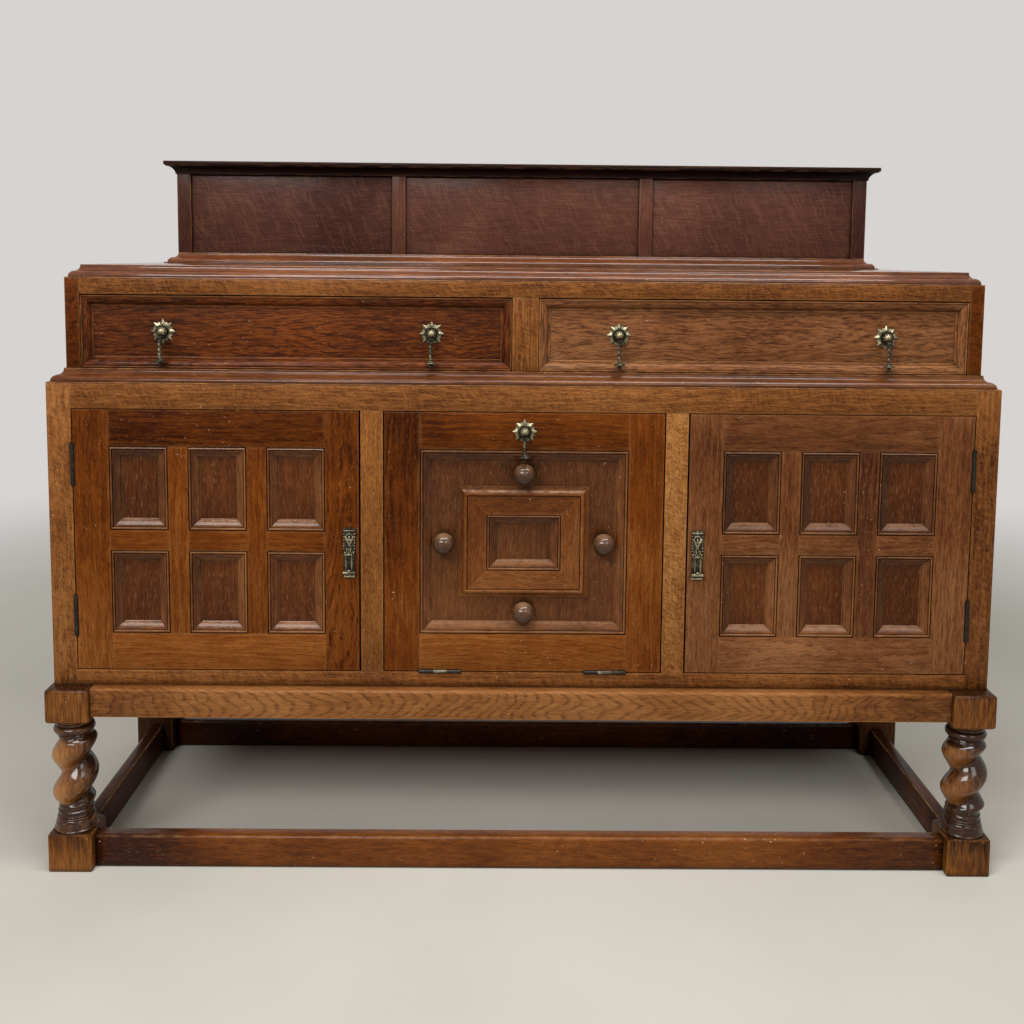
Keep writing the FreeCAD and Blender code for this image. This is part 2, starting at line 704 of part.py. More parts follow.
def build_gallery():
    half = GALLERY_WIDTH / 2
    front = BACK - GALLERY_THICK
    foot_edge = weathered_edge(GALLERY_FOOT_REACH, GALLERY_FOOT - TABLE_TOP)
    nodes["gallery_base_moulding"] = [
        moulded_slab(half + GALLERY_FOOT_REACH, front - GALLERY_FOOT_REACH, BACK, TABLE_TOP, foot_edge)
    ]
    panel_front = front + GALLERY_PANEL_SINK
    panel_back = panel_front + PANEL_THICK
    muntin_inner = GALLERY_MUNTIN_X - GALLERY_MUNTIN / 2
    muntin_outer = GALLERY_MUNTIN_X + GALLERY_MUNTIN / 2
    stile_inner = half - GALLERY_STILE

    def gallery_panel(left, right):
        return box(left - GROOVE, right + GROOVE, panel_front, panel_back, GALLERY_FOOT, GALLERY_HEAD)

    middle_panel = gallery_panel(-muntin_inner, muntin_inner)
    panels = both_sides(gallery_panel(muntin_outer, stile_inner)) + [middle_panel]
    stile = box(stile_inner, half, front, BACK, GALLERY_FOOT, GALLERY_HEAD)
    muntin = box(muntin_inner, muntin_outer, front, BACK, GALLERY_FOOT, GALLERY_HEAD)
    uprights = both_sides(stile) + both_sides(muntin)
    nodes["gallery_uprights"] = [cut_from(upright, panels) for upright in uprights]
    nodes["gallery_panels"] = panels
    cornice = cornice_edge(CORNICE_REACH, OVERALL_HEIGHT - GALLERY_HEAD)
    nodes["gallery_cornice"] = [
        moulded_slab(half + CORNICE_REACH, front - CORNICE_REACH, BACK, GALLERY_HEAD, cornice)
    ]


# Pulls, made with the pivot's rosette or plate centred on the origin and its back on the plane y = 0


def lugs_and_pin(pivot_y, pivot_z, root_y):
    """Two lugs that hold the drop's pivot pin, standing forward from root_y."""
    inner = EYE_THICK / 2 + LUG_GAP
    outer = inner + LUG_THICK
    lug = box(inner, outer, pivot_y - EYE_RADIUS, root_y, pivot_z - EYE_RADIUS, pivot_z + EYE_RADIUS)
    pin = cylinder(PIVOT_PIN, point(-outer, pivot_y, pivot_z), point(1, 0, 0), 2 * outer)
    return both_sides(lug) + [pin]


def rosette():
    """An eight-point star with a domed boss and the lugs for its drop."""
    corners = []
    for index in range(2 * STAR_POINTS):
        radius = STAR_OUTER if index % 2 == 0 else STAR_INNER
        turn = math.pi * index / STAR_POINTS
        corners.append((radius * math.sin(turn), radius * math.cos(turn)))
    star = extruded(corners, lambda x, z: point(x, -STAR_THICK, z), point(0, STAR_THICK, 0))
    boss = turned([
        (0.0, STAR_THICK),
        (BOSS_RADIUS, STAR_THICK),
        ((BOSS_RADIUS * 0.72, BOSS_HEIGHT * 0.74), (0.0, BOSS_HEIGHT)),
    ])
    boss.rotate(ORIGIN, point(1, 0, 0), 90)
    return fused(star, [boss] + lugs_and_pin(-PIVOT_REACH, -PIVOT_DROP, -STAR_THICK))


def below(step):
    """A (radius, depth) corner or arc turned into (radius, height) with the depth hanging down."""
    if isinstance(step[0], tuple):
        return tuple(below(part) for part in step)
    return (step[0], -step[1])


def drop_with_eye(outline, pivot_y, pivot_z):
    """A hanging drop turned from (radius, depth under the pivot) steps, with an eye round the pivot pin."""
    stem = turned([below(step) for step in outline])
    eye = cylinder(EYE_RADIUS, point(-EYE_THICK / 2, 0, 0), point(1, 0, 0), EYE_THICK)
    hole = cylinder(PIVOT_PIN + PIVOT_PLAY, point(-EYE_THICK, 0, 0), point(1, 0, 0), 2 * EYE_THICK)
    return moved(cut_from(fused(eye, [stem]), [hole]), 0, pivot_y, pivot_z)


def star_drop(length):
    """The rosette's drop: stem with a swelling, a flared button and a small finial."""
    hang = length - PIVOT_DROP
    neck = EYE_THICK / 2
    outline = [
        (0.0, EYE_RADIUS - 0.8),
        (neck - 0.1, EYE_RADIUS - 0.8),
        (neck - 0.1, EYE_RADIUS + 0.8),
        (STEM_RADIUS, EYE_RADIUS + 3.0),
        (STEM_RADIUS, hang - 15.0),
        (BUTTON_RADIUS * 0.55, hang - 11.0),
        (BUTTON_RADIUS, hang - 7.0),
        (BUTTON_RADIUS, hang - 5.5),
        (STEM_RADIUS, hang - 3.0),
        (STEM_RADIUS, hang - 1.5),
        (0.0, hang),
    ]
    return drop_with_eye(outline, -PIVOT_REACH, -PIVOT_DROP)


def plate_pull():
    """A long cast plate with a crest, a domed boss above and the lugs for its drop."""
    half = PLATE_WIDTH / 2
    tall = PLATE_HEIGHT / 2
    waist = half * 0.72
    outline = [
        (-waist, -tall * 0.8),
        ((0.0, -tall), (waist, -tall * 0.8)),
        ((half, 0.0), (waist, tall * 0.62)),
        (half * 0.9, tall * 0.72),
        ((0.0, tall), (-half * 0.9, tall * 0.72)),
        (-waist, tall * 0.62),
        ((-half, 0.0), (-waist, -tall * 0.8)),
    ]
    plate = extruded(outline, lambda x, z: point(x, -PLATE_THICK, z), point(0, PLATE_THICK, 0))
    boss = Part.makeSphere(half * 0.55, point(0, -PLATE_THICK, tall * 0.55))
    above = boss.common(box(-half, half, -half * 2, -PLATE_THICK, 0, tall))
    return fused(plate, [above] + lugs_and_pin(-PLATE_PIVOT_REACH, PLATE_PIVOT_RISE, -PLATE_THICK))


def plate_drop():
    """The plate's drop: a slim pear with a small finial."""
    neck = EYE_THICK / 2
    outline = [
        (0.0, EYE_RADIUS - 0.8),
        (neck - 0.1, EYE_RADIUS - 0.8),
        (neck - 0.1, EYE_RADIUS + 0.8),
        ((PLATE_DROP_RADIUS * 0.72, PLATE_DROP_LENGTH * 0.4), (PLATE_DROP_RADIUS, PLATE_DROP_LENGTH * 0.7)),
        ((PLATE_DROP_RADIUS * 0.72, PLATE_DROP_LENGTH * 0.84), (neck, PLATE_DROP_LENGTH * 0.9)),
        (neck, PLATE_DROP_LENGTH * 0.94),
        (0.0, PLATE_DROP_LENGTH),
    ]
    return drop_with_eye(outline, -PLATE_PIVOT_REACH, PLATE_PIVOT_RISE)


# Doors


def build_door(side, hinges):
    """One panelled door, modelled at the right and mirrored for the left."""
    low = DOOR_LOCK_EDGE
    high = DOOR_HINGE_EDGE
    back = CASE_FRONT + DOOR_THICK
    field_left = low + LOCK_STILE
    field_right = high - HINGE_STILE
    field_foot = DOOR_FOOT + DOOR_BOTTOM_RAIL
    field_head = DOOR_HEAD - DOOR_TOP_RAIL
    opening_width = (field_right - field_left - 2 * DOOR_MUNTIN) / 3
    opening_height = (field_head - field_foot - DOOR_MID_RAIL) / 2

    lefts = [field_left + index * (opening_width + DOOR_MUNTIN) for index in range(3)]
    feet = [field_foot + index * (opening_height + DOOR_MID_RAIL) for index in range(2)]
    panel_front = CASE_FRONT + PANEL_SINK
    panels = [
        box(x - GROOVE, x + opening_width + GROOVE, panel_front, panel_front + PANEL_THICK, z - GROOVE,
            z + opening_height + GROOVE)
        for x in lefts for z in feet
    ]
    profile = sunk_moulding(DOOR_MOULDING, PANEL_SINK)
    first_right = field_left + opening_width
    first_head = field_foot + opening_height
    first = mitred_frame(field_left, first_right, field_foot, first_head, CASE_FRONT, profile)
    mouldings = [
        moved(strip, x - field_left, 0, z - field_foot)
        for x in lefts for z in feet for strip in first
    ]

    frame = [
        box(low, field_left, CASE_FRONT, back, DOOR_FOOT, DOOR_HEAD),
        box(field_right, high, CASE_FRONT, back, DOOR_FOOT, DOOR_HEAD),
        box(field_left, field_right, CASE_FRONT, back, DOOR_FOOT, field_foot),
        box(field_left, field_right, CASE_FRONT, back, field_head, DOOR_HEAD),
    ]
    frame += [box(x - DOOR_MUNTIN, x, CASE_FRONT, back, field_foot, field_head) for x in lefts[1:]]
    frame += [box(x, x + opening_width, CASE_FRONT, back, feet[1] - DOOR_MID_RAIL, feet[1]) for x in lefts]
    tools = panels + hinge_tools(hinges, "moving", "right")
    frame = [cut_from(member, tools) for member in frame]

    plate_x = low + PLATE_INSET
    plate_z = (DOOR_FOOT + DOOR_HEAD) / 2 - PLATE_DROP
    plate = moved(plate_pull(), plate_x, CASE_FRONT, plate_z)
    drop = moved(plate_drop(), plate_x, CASE_FRONT, plate_z)
    door = {
        "frame": frame,
        "panels": panels,
        "mouldings": mouldings,
        "hinge_leaves": hinges["moving"]["right"],
        "pull_plate": [plate],
        "pull_drop": [drop],
    }
    for name, shapes in door.items():
        nodes[f"{side}_door_{name}"] = handed(shapes, side)


# Fall-front flap


def knob():
    """A turned ball knob on a short neck with a tenon, standing forward from the plane y = 0."""
    ball_middle = KNOB_LENGTH - KNOB_RADIUS
    neck_top = ball_middle - math.sqrt(KNOB_RADIUS ** 2 - KNOB_NECK ** 2)
    shape = turned([
        (0.0, -KNOB_TENON_LENGTH),
        (KNOB_TENON, -KNOB_TENON_LENGTH),
        (KNOB_TENON, 0.0),
        (KNOB_NECK, 0.0),
        (KNOB_NECK, neck_top),
        ((KNOB_RADIUS, ball_middle), (0.0, KNOB_LENGTH)),
    ])
    shape.rotate(ORIGIN, point(1, 0, 0), 90)
    return shape


def build_flap(hinges):
    back = CASE_FRONT + DOOR_THICK
    field_side = FLAP_SIDE - FLAP_STILE
    field_foot = DOOR_FOOT + FLAP_BOTTOM_RAIL
    field_head = DOOR_HEAD - FLAP_TOP_RAIL
    middle = (field_foot + field_head) / 2
    field_front = CASE_FRONT + PANEL_SINK
    field_back = field_front + PANEL_THICK
    panel_side = field_side + GROOVE
    panel = box(-panel_side, panel_side, field_front, field_back, field_foot - GROOVE, field_head + GROOVE)

    stile = box(field_side, FLAP_SIDE, CASE_FRONT, back, DOOR_FOOT, DOOR_HEAD)
    frame = both_sides(stile) + [
        box(-field_side, field_side, CASE_FRONT, back, DOOR_FOOT, field_foot),
        box(-field_side, field_side, CASE_FRONT, back, field_head, DOOR_HEAD),
    ]
    tools = [panel] + hinge_tools(hinges, "moving", "flap")
    nodes["flap_frame"] = [cut_from(member, tools) for member in frame]

    places = ((-KNOB_X, 0.0), (KNOB_X, 0.0), (0.0, -KNOB_Z), (0.0, KNOB_Z))
    knobs = [moved(knob(), x, field_front, middle + z) for x, z in places]
    nodes["flap_knobs"] = knobs
    nodes["flap_panel"] = [cut_from(panel, knobs)]

    outer = mitred_frame(-field_side, field_side, field_foot, field_head, CASE_FRONT,
                         sunk_moulding(FLAP_MOULDING, PANEL_SINK))
    half_width = TABLET_WIDTH / 2
    half_height = TABLET_HEIGHT / 2
    tablet = mitred_frame(-half_width, half_width, middle - half_height, middle + half_height, CASE_FRONT,
                          tablet_moulding(TABLET_EDGE, TABLET_BAND, PANEL_SINK))
    inner_width = half_width - TABLET_BAND
    inner_height = half_height - TABLET_BAND
    inner_profile = sunk_moulding(TABLET_MOULDING, PANEL_SINK)
    inner = mitred_frame(-inner_width, inner_width, middle - inner_height, middle + inner_height, CASE_FRONT,
                         inner_profile)
    nodes["flap_mouldings"] = outer + inner
    nodes["flap_tablet"] = tablet
    nodes["flap_hinge_leaves"] = hinges["moving"]["flap"]
    pull_z = DOOR_HEAD - FLAP_PULL_DROP
    nodes["flap_pull_rosette"] = [moved(rosette(), 0, CASE_FRONT, pull_z)]
    nodes["flap_pull_drop"] = [moved(star_drop(FLAP_DROP_LENGTH), 0, CASE_FRONT, pull_z)]


# Drawers


def build_drawer(side):
    """One drawer, modelled at the right and mirrored for the left."""
    field_front = DRAWER_FRONT + PANEL_SINK
    board_back = field_front + DRAWER_FRONT_THICK
    board = box(DRAWER_INNER, DRAWER_OUTER, field_front, board_back, DRAWER_FOOT, DRAWER_HEAD)
    mouldings = mitred_frame(DRAWER_INNER, DRAWER_OUTER, DRAWER_FOOT, DRAWER_HEAD, DRAWER_FRONT,
                             sunk_moulding(DRAWER_MOULDING, PANEL_SINK))

    box_left = DRAWER_INNER + DRAWER_BOX_INSET
    box_right = DRAWER_OUTER - DRAWER_BOX_INSET
    box_back = board_back + DRAWER_BOX_LENGTH
    box_head = DRAWER_FOOT + DRAWER_BOX_HEIGHT
    bottom_foot = DRAWER_FOOT + DRAWER_BOTTOM_LIFT
    left_wall = box(box_left, box_left + DRAWER_SIDE, board_back, box_back, DRAWER_FOOT, box_head)
    right_wall = box(box_right - DRAWER_SIDE, box_right, board_back, box_back, DRAWER_FOOT, box_head)
    back_wall = box(box_left + DRAWER_SIDE, box_right - DRAWER_SIDE, box_back - DRAWER_SIDE, box_back,
                    bottom_foot + DRAWER_BOTTOM, box_head)
    groove = DRAWER_SIDE / 2
    bottom_head = bottom_foot + DRAWER_BOTTOM
    bottom = box(box_left + groove, box_right - groove, board_back, box_back, bottom_foot, bottom_head)

    pull_z = (WAIST_TOP + DRAWER_RAIL_FOOT) / 2
    inner_x = DRAWER_INNER + PULL_INSET
    outer_x = DRAWER_OUTER - PULL_INSET
    pull = rosette()
    drop = star_drop(DROP_LENGTH)
    drawer = {
        "front": [board] + mouldings,
        "box": [cut_from(left_wall, [bottom]), cut_from(right_wall, [bottom]), back_wall, bottom],
        "rosettes": [moved(pull, x, field_front, pull_z) for x in (inner_x, outer_x)],
        "inner_drop": [moved(drop, inner_x, field_front, pull_z)],
        "outer_drop": [moved(drop, outer_x, field_front, pull_z)],
    }
    for name, shapes in drawer.items():
        nodes[f"{side}_drawer_{name}"] = handed(shapes, side)


# All nodes, one file each

hinge_set = placed_hinges()
build_stand()
build_lower_case(hinge_set)
build_waist()
build_upper_case()
build_gallery()
for door_side in ("left", "right"):
    build_door(door_side, hinge_set)
build_flap(hinge_set)
for drawer_side in ("left", "right"):
    build_drawer(drawer_side)

os.makedirs("parts", exist_ok=True)
for node_name, solids in nodes.items():
    whole = solids[0] if len(solids) == 1 else Part.makeCompound(solids)
    whole.exportStep(f"parts/{node_name}.step")
print(len(nodes), "nodes,", sum(len(solids) for solids in nodes.values()), "solids")
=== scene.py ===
"""Oak sideboard on twisted front legs: the shape and finish of every visible piece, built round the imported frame."""
import json
import logging
import math
import random
from dataclasses import dataclass, replace
from enum import Enum
from typing import Callable, Sequence

import bmesh
import bpy
import numpy as np
from mathutils import Matrix, Vector

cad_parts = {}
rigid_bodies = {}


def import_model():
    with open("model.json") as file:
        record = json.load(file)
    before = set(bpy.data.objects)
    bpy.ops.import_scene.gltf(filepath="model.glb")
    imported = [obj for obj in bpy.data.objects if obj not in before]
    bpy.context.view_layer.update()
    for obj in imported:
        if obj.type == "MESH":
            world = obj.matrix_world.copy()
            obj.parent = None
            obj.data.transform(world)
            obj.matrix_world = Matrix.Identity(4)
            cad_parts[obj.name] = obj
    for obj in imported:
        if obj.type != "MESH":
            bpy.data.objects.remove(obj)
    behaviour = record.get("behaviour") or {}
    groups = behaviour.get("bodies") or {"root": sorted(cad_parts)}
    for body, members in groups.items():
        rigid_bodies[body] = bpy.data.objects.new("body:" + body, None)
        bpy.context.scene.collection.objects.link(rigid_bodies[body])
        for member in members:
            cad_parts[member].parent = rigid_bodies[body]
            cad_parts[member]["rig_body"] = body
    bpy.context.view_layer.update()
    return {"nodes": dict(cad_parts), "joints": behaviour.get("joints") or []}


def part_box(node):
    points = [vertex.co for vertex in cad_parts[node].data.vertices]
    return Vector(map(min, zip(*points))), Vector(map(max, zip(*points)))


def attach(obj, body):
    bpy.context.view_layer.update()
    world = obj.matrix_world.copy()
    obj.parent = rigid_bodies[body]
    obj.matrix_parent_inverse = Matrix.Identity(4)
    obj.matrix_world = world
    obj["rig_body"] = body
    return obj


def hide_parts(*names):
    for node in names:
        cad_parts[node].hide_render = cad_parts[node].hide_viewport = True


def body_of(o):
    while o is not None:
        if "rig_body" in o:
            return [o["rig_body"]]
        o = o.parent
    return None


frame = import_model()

log = logging.getLogger("sideboard")

FULL_TURN = 2 * math.pi
CARCASE = "carcase"

Colour = tuple[float, float, float, float]
Triple = tuple[float, float, float]


def srgb(red: int, green: int, blue: int) -> Colour:
    """The linear colour of a display colour.

    Args:
        red, green, blue: display values from 0 to 255.

    Returns:
        The colour with full alpha.
    """
    linear = []
    for channel in (red / 255, green / 255, blue / 255):
        linear.append(channel / 12.92 if channel <= 0.04045 else ((channel + 0.055) / 1.055) ** 2.4)
    return (*linear, 1.0)


# Shader graph


class Value:
    """A shader socket that stands in Python expressions."""

    def __init__(self, graph: "Graph", socket: bpy.types.NodeSocket) -> None:
        """Keep the socket and the graph that it belongs to."""
        self.graph = graph
        self.socket = socket

    def __add__(self, other: "Value | float") -> "Value":
        """Sum."""
        return self.graph.maths("ADD", self, other)

    __radd__ = __add__

    def __sub__(self, other: "Value | float") -> "Value":
        """Difference."""
        return self.graph.maths("SUBTRACT", self, other)

    def __rsub__(self, other: "Value | float") -> "Value":
        """Difference from a number."""
        return self.graph.maths("SUBTRACT", other, self)

    def __mul__(self, other: "Value | float") -> "Value":
        """Product."""
        return self.graph.maths("MULTIPLY", self, other)

    __rmul__ = __mul__

    def __truediv__(self, other: "Value | float") -> "Value":
        """Quotient."""
        return self.graph.maths("DIVIDE", self, other)


class Graph:
    """The node tree of one finish."""

    def __init__(self, name: str) -> None:
        """Start an empty material.

        Args:
            name: the material's name.
        """
        self.material = bpy.data.materials.new(name)
        self.material.use_nodes = True
        self.tree = self.material.node_tree
        self.tree.nodes.clear()

    def node(self, kind: str, settings: dict | None = None, inputs: dict | None = None) -> bpy.types.Node:
        """Add one node.

        Args:
            kind: the node's type.
            settings: its properties, set first; "stops" is a colour ramp's list of (place, colour).
            inputs: values or links of its sockets, by name or number.

        Returns:
            The new node.
        """
        made = self.tree.nodes.new(kind)
        for key, setting in (settings or {}).items():
            if key == "stops":
                ramp = made.color_ramp
                while len(ramp.elements) < len(setting):
                    ramp.elements.new(1.0)
                for element, (place, colour) in zip(ramp.elements, setting):
                    element.position = place
                    element.color = colour
            else:
                setattr(made, key, setting)
        for key, given in (inputs or {}).items():
            if isinstance(given, Value):
                self.tree.links.new(given.socket, made.inputs[key])
            else:
                made.inputs[key].default_value = given
        return made

    def value(self, kind: str, output: str | int, settings: dict | None = None,
              inputs: dict | None = None) -> Value:
        """One output, by name or number, of a new node."""
        return Value(self, self.node(kind, settings, inputs).outputs[output])

    def maths(self, operation: str, *terms: "Value | float") -> Value:
        """One Math node on the given terms."""
        return self.value("ShaderNodeMath", 0, {"operation": operation}, dict(enumerate(terms)))

    def vector(self, operation: str, *terms: "Value | Triple") -> Value:
        """One Vector Math node on the given terms."""
        return self.value("ShaderNodeVectorMath", 0, {"operation": operation}, dict(enumerate(terms)))

    def attribute(self, name: str, output: str = "Vector") -> Value:
        """A piece's own attribute, as a vector or with output "Fac" as a number."""
        return self.value("ShaderNodeAttribute", output, {"attribute_name": name})

    def parts(self, vector: Value) -> list[Value]:
        """The three numbers of a vector."""
        split = self.node("ShaderNodeSeparateXYZ", inputs={0: vector})
        return [Value(self, socket) for socket in split.outputs]

    def noise(self, vector: Value, stretch: Triple, detail: float = 2.0, output: str = "Fac") -> Value:
        """Noise of about 0.5 with so many lumps to a metre along each axis, and detail in octaves of finer lumps."""
        place = self.vector("MULTIPLY", vector, stretch)
        return self.value("ShaderNodeTexNoise", output, None, {"Vector": place, "Scale": 1.0, "Detail": detail})

    def fade(self, value: Value, low: float, high: float) -> Value:
        """A smooth step from 0 at low to 1 at high."""
        settings = {"interpolation_type": "SMOOTHSTEP"}
        return self.value("ShaderNodeMapRange", 0, settings, {0: value, 1: low, 2: high, 3: 0.0, 4: 1.0})

    def blend(self, factor: "Value | float", first: "Value | Colour", second: "Value | Colour") -> Value:
        """Two colours mixed, with a factor of the second."""
        settings = {"data_type": "RGBA", "blend_type": "MIX", "clamp_factor": True}
        return self.value("ShaderNodeMix", 2, settings, {0: factor, 6: first, 7: second})

    def ramp(self, value: Value, stops: list[tuple[float, Colour]]) -> Value:
        """A colour from a ramp of (place, colour) stops."""
        return self.value("ShaderNodeValToRGB", "Color", {"stops": stops}, {0: value})

    def cavity(self, reach: float, rays: int = 3) -> Value:
        """1 on open surfaces and near 0 in corners and quirks narrower than the reach."""
        return self.value("ShaderNodeAmbientOcclusion", "AO", {"samples": rays}, {"Distance": reach})

    def bump(self, height: Value, depth: float, strength: float) -> Value:
        """A normal that follows a height from 0 to about 1, where 1 stands for the depth in metres."""
        return self.value("ShaderNodeBump", "Normal", None,
                          {"Height": height, "Distance": depth, "Strength": strength})

    def surface(self, inputs: dict) -> bpy.types.Material:
        """Close the tree with a Principled surface.

        Args:
            inputs: values or links of the surface's sockets.

        Returns:
            The finished material.
        """
        shader = self.node("ShaderNodeBsdfPrincipled", inputs=inputs)
        self.node("ShaderNodeOutputMaterial", inputs={"Surface": Value(self, shader.outputs[0])})
        return self.material


# Finishes

# A pale, pinkish film on upward faces: partly settled dirt, partly painted sheen of the overhead light.
DUST_AND_SHEEN = srgb(172, 138, 108)
CHIP = srgb(214, 190, 156)
# Colour of the darkening in corners, quirks and gaps: partly dirt, partly painted shade.
RECESS_DIRT_AND_SHADE = srgb(14, 7, 4)
VERDIGRIS = srgb(70, 74, 54)


@dataclass(frozen=True)
class OakFinish:
    """Stained and varnished oak, read in the coordinates of the log that each board was sawn from."""

    name: str
    slot: str
    dark: Colour
    mid: Colour
    light: Colour
    pore: Colour = srgb(44, 20, 8)
    worn: Colour = srgb(166, 116, 68)
    pore_depth: float = 0.5
    pore_cover: float = 0.5
    streaks: float = 0.6
    tick: float = 120.0
    ring_width: float = 0.0034
    sway: float = 0.0
    ripple: float = 0.8
    run: float = 0.0
    mottle: float = 0.5
    figure: float = 0.4
    broken: float = 0.6
    vein: float = 0.22
    fleck: float = 0.0
    fleck_grain: Triple = (300.0, 70.0, 70.0)
    # How much lighter the lower part of a piece is.
    lighter_low: float = 0.0
    end_shade: float = 0.0
    painted_relief_light: float = 0.7
    wear: float = 0.6
    specks: float = 0.5
    dust: float = 0.0
    coat: float = 0.06
    turned_coat: float = 0.0
    coat_roughness: float = 0.18
    roughness: float = 0.36
    shine: float = 0.06

    def rings(self, graph: Graph, place: Value) -> tuple[Value, Value]:
        """Growth rings round a pith that wanders along the log.

        Args:
            graph: the finish's nodes.
            place: the place in the log.

        Returns:
            How far each spot lies in its ring's open pores, and the tone of its ring.
        """
        wander = graph.noise(place, (1.8, 5.0, 5.0), 2.0, "Color")
        shift = graph.vector("MULTIPLY", graph.vector("SUBTRACT", wander, (0.5, 0.5, 0.5)), (0.0, 0.09, 0.09))
        _, across, through = graph.parts(graph.vector("ADD", place, shift))
        radius = graph.maths("SQRT", across * across + through * through)
        ripple = graph.noise(place, (46.0, 120.0, 120.0), 1.0)
        ring = radius / self.ring_width + ripple * self.ripple
        if self.run:
            ring = ring + graph.parts(place)[0] * self.run
        if self.sway:
            ring = ring + graph.noise(place, (3.0, 24.0, 24.0), 1.0) * self.sway
        depth = graph.maths("FRACT", ring)
        year = graph.maths("FLOOR", ring)
        tone = graph.value("ShaderNodeTexWhiteNoise", "Value", {"noise_dimensions": "1D"}, {"W": year})
        early = 1 - graph.fade(depth, 0.06, 0.36)
        late = graph.fade(depth, 0.88, 1.0)
        return graph.maths("MAXIMUM", early, late), tone

    def tone(self, graph: Graph, place: Value, log_place: Value, spot: Value, year: Value) -> Value:
        """The stain's depth before pores and wear, with painted light and shade laid on by the relief.

        Args:
            graph: the finish's nodes.
            place: the place on the board from its middle.
            log_place: the place in the log.
            spot: the place on the whole piece.
            year: the tone of the growth ring.

        Returns:
            About 0.5, higher where the wood is lighter.
        """
        streak = graph.noise(log_place, (15.0, 250.0, 250.0), 3.0)
        mottle = graph.noise(log_place, (34.0, 130.0, 130.0), 2.0)
        blotch = graph.noise(spot, (4.2, 4.2, 4.2), 3.0)
        board = graph.attribute("tone", "Fac")
        relief = graph.attribute("relief", "Fac")
        # The relief term paints light and shade: raised beads, the lit side of the twist and the knob tops come out
        # lighter, hollows and sunk parts darker.
        tone = (0.5 + (streak - 0.5) * self.streaks + (year - 0.5) * 0.12 * self.figure + (board - 0.5) * 0.5
                + (mottle - 0.5) * self.mottle + (blotch - 0.5) * 0.9 + (relief - 0.5) * self.painted_relief_light)
        # Lighter towards the foot of the piece.
        if self.lighter_low:
            height = graph.parts(spot)[2]
            tone = tone + (0.5 - graph.fade(height, 0.36, 0.74)) * self.lighter_low
        if self.end_shade:
            along = graph.maths("ABSOLUTE", graph.parts(place)[0])
            run = along / graph.parts(graph.attribute("half"))[0]
            tone = tone - graph.fade(run, 0.5, 0.98) * self.end_shade
        return tone

    def material(self) -> bpy.types.Material:
        """Lay the finish out in nodes.

        Returns:
            The finish as a material.
        """
        graph = Graph(self.name)
        place = graph.attribute("place")
        log_place = graph.vector("ADD", place, graph.attribute("log"))
        spot = graph.value("ShaderNodeTexCoord", "Object")
        band, year = self.rings(graph, log_place)
        colour = graph.ramp(self.tone(graph, place, log_place, spot, year),
                            [(0.12, self.dark), (0.5, self.mid), (0.88, self.light)])
        ticks = graph.noise(log_place, (self.tick, 900.0, 900.0), 1.0)
        dash = graph.fade(ticks, self.pore_cover, self.pore_cover + 0.14)
        flake = graph.fade(graph.noise(log_place, (44.0, 190.0, 190.0), 2.0), 0.42, 0.6)
        show = graph.attribute("show", "Fac")
        line = band * (1 - self.broken + flake * self.broken) * show * self.figure
        colour = graph.blend(line * 0.8, colour, self.dark)
        grain = self.fine_grain(graph, log_place)
        colour = graph.blend(graph.fade(grain, 0.51, 0.64) * self.vein, colour, self.dark)
        colour = graph.blend(graph.fade(grain, 0.47, 0.36) * self.vein * 0.35, colour, self.light)
        colour = graph.blend(graph.fade(ticks, 0.46, 0.34) * self.pore_depth * 0.4, colour, self.light)
        colour = graph.blend(dash * (0.55 + band * 0.45) * self.pore_depth, colour, self.pore)
        ray = self.ray_fleck(graph, log_place)
        colour = graph.blend(graph.fade(ray, 0.52, 0.64) * show * self.fleck, colour, self.light)
        colour = graph.blend(graph.fade(ray, 0.46, 0.34) * show * self.fleck, colour, self.dark)
        cavity = graph.cavity(0.012)
        wear = self.worn_arris(graph, place, spot) * graph.fade(cavity, 0.72, 0.95)
        colour = graph.blend(wear, colour, self.worn)
        # Upward faces go paler: partly a dusty film, partly painted sheen where overhead light would glance off them.
        if self.dust:
            upward_dust_and_sheen = graph.fade(graph.attribute("up", "Fac"), 0.2, 0.9)
            patchy = graph.fade(graph.noise(spot, (90.0, 90.0, 90.0), 3.0), 0.3, 0.62)
            colour = graph.blend(upward_dust_and_sheen * (0.3 + patchy * 0.7) * self.dust, colour, DUST_AND_SHEEN)
        speck = self.pale_specks(graph, spot)
        colour = graph.blend(speck, colour, CHIP)
        # Occlusion darkens corners, quirks and gaps: partly dirt, partly painted shade; it also raises the roughness
        # and thins the coat there.
        recess_dirt_and_shade = 1 - graph.fade(cavity, 0.2, 0.92)
        colour = graph.blend(recess_dirt_and_shade * 0.9, colour, RECESS_DIRT_AND_SHADE)
        height = 0.6 - dash * 0.45 - line * 0.3 - speck * 0.25
        coat = self.coat * (1 - wear * 0.5)
        if self.turned_coat:
            coat = coat + graph.attribute("polish", "Fac") * self.turned_coat
        return graph.surface({
            "Base Color": colour,
            "Roughness": self.roughness + dash * 0.12 + wear * 0.1 + recess_dirt_and_shade * 0.2,
            "Specular IOR Level": self.shine,
            "Coat Weight": coat * (1 - recess_dirt_and_shade * 0.7),
            "Coat Roughness": self.coat_roughness,
            "Normal": graph.bump(height, 0.0005, 0.6),
        })

    def fine_grain(self, graph: Graph, log_place: Value) -> Value:
        """The fine wavy grain between the growth rings.

        Args:
            graph: the finish's nodes.
            log_place: the place in the log.

        Returns:
            The grain's noise, about 0.5.
        """
        wave = graph.noise(log_place, (11.0, 30.0, 30.0), 1.0, "Color")
        shift = graph.vector("MULTIPLY", graph.vector("SUBTRACT", wave, (0.5, 0.5, 0.5)), (0.0, 0.016, 0.016))
        return graph.noise(graph.vector("ADD", log_place, shift), (38.0, 400.0, 400.0), 2.0)

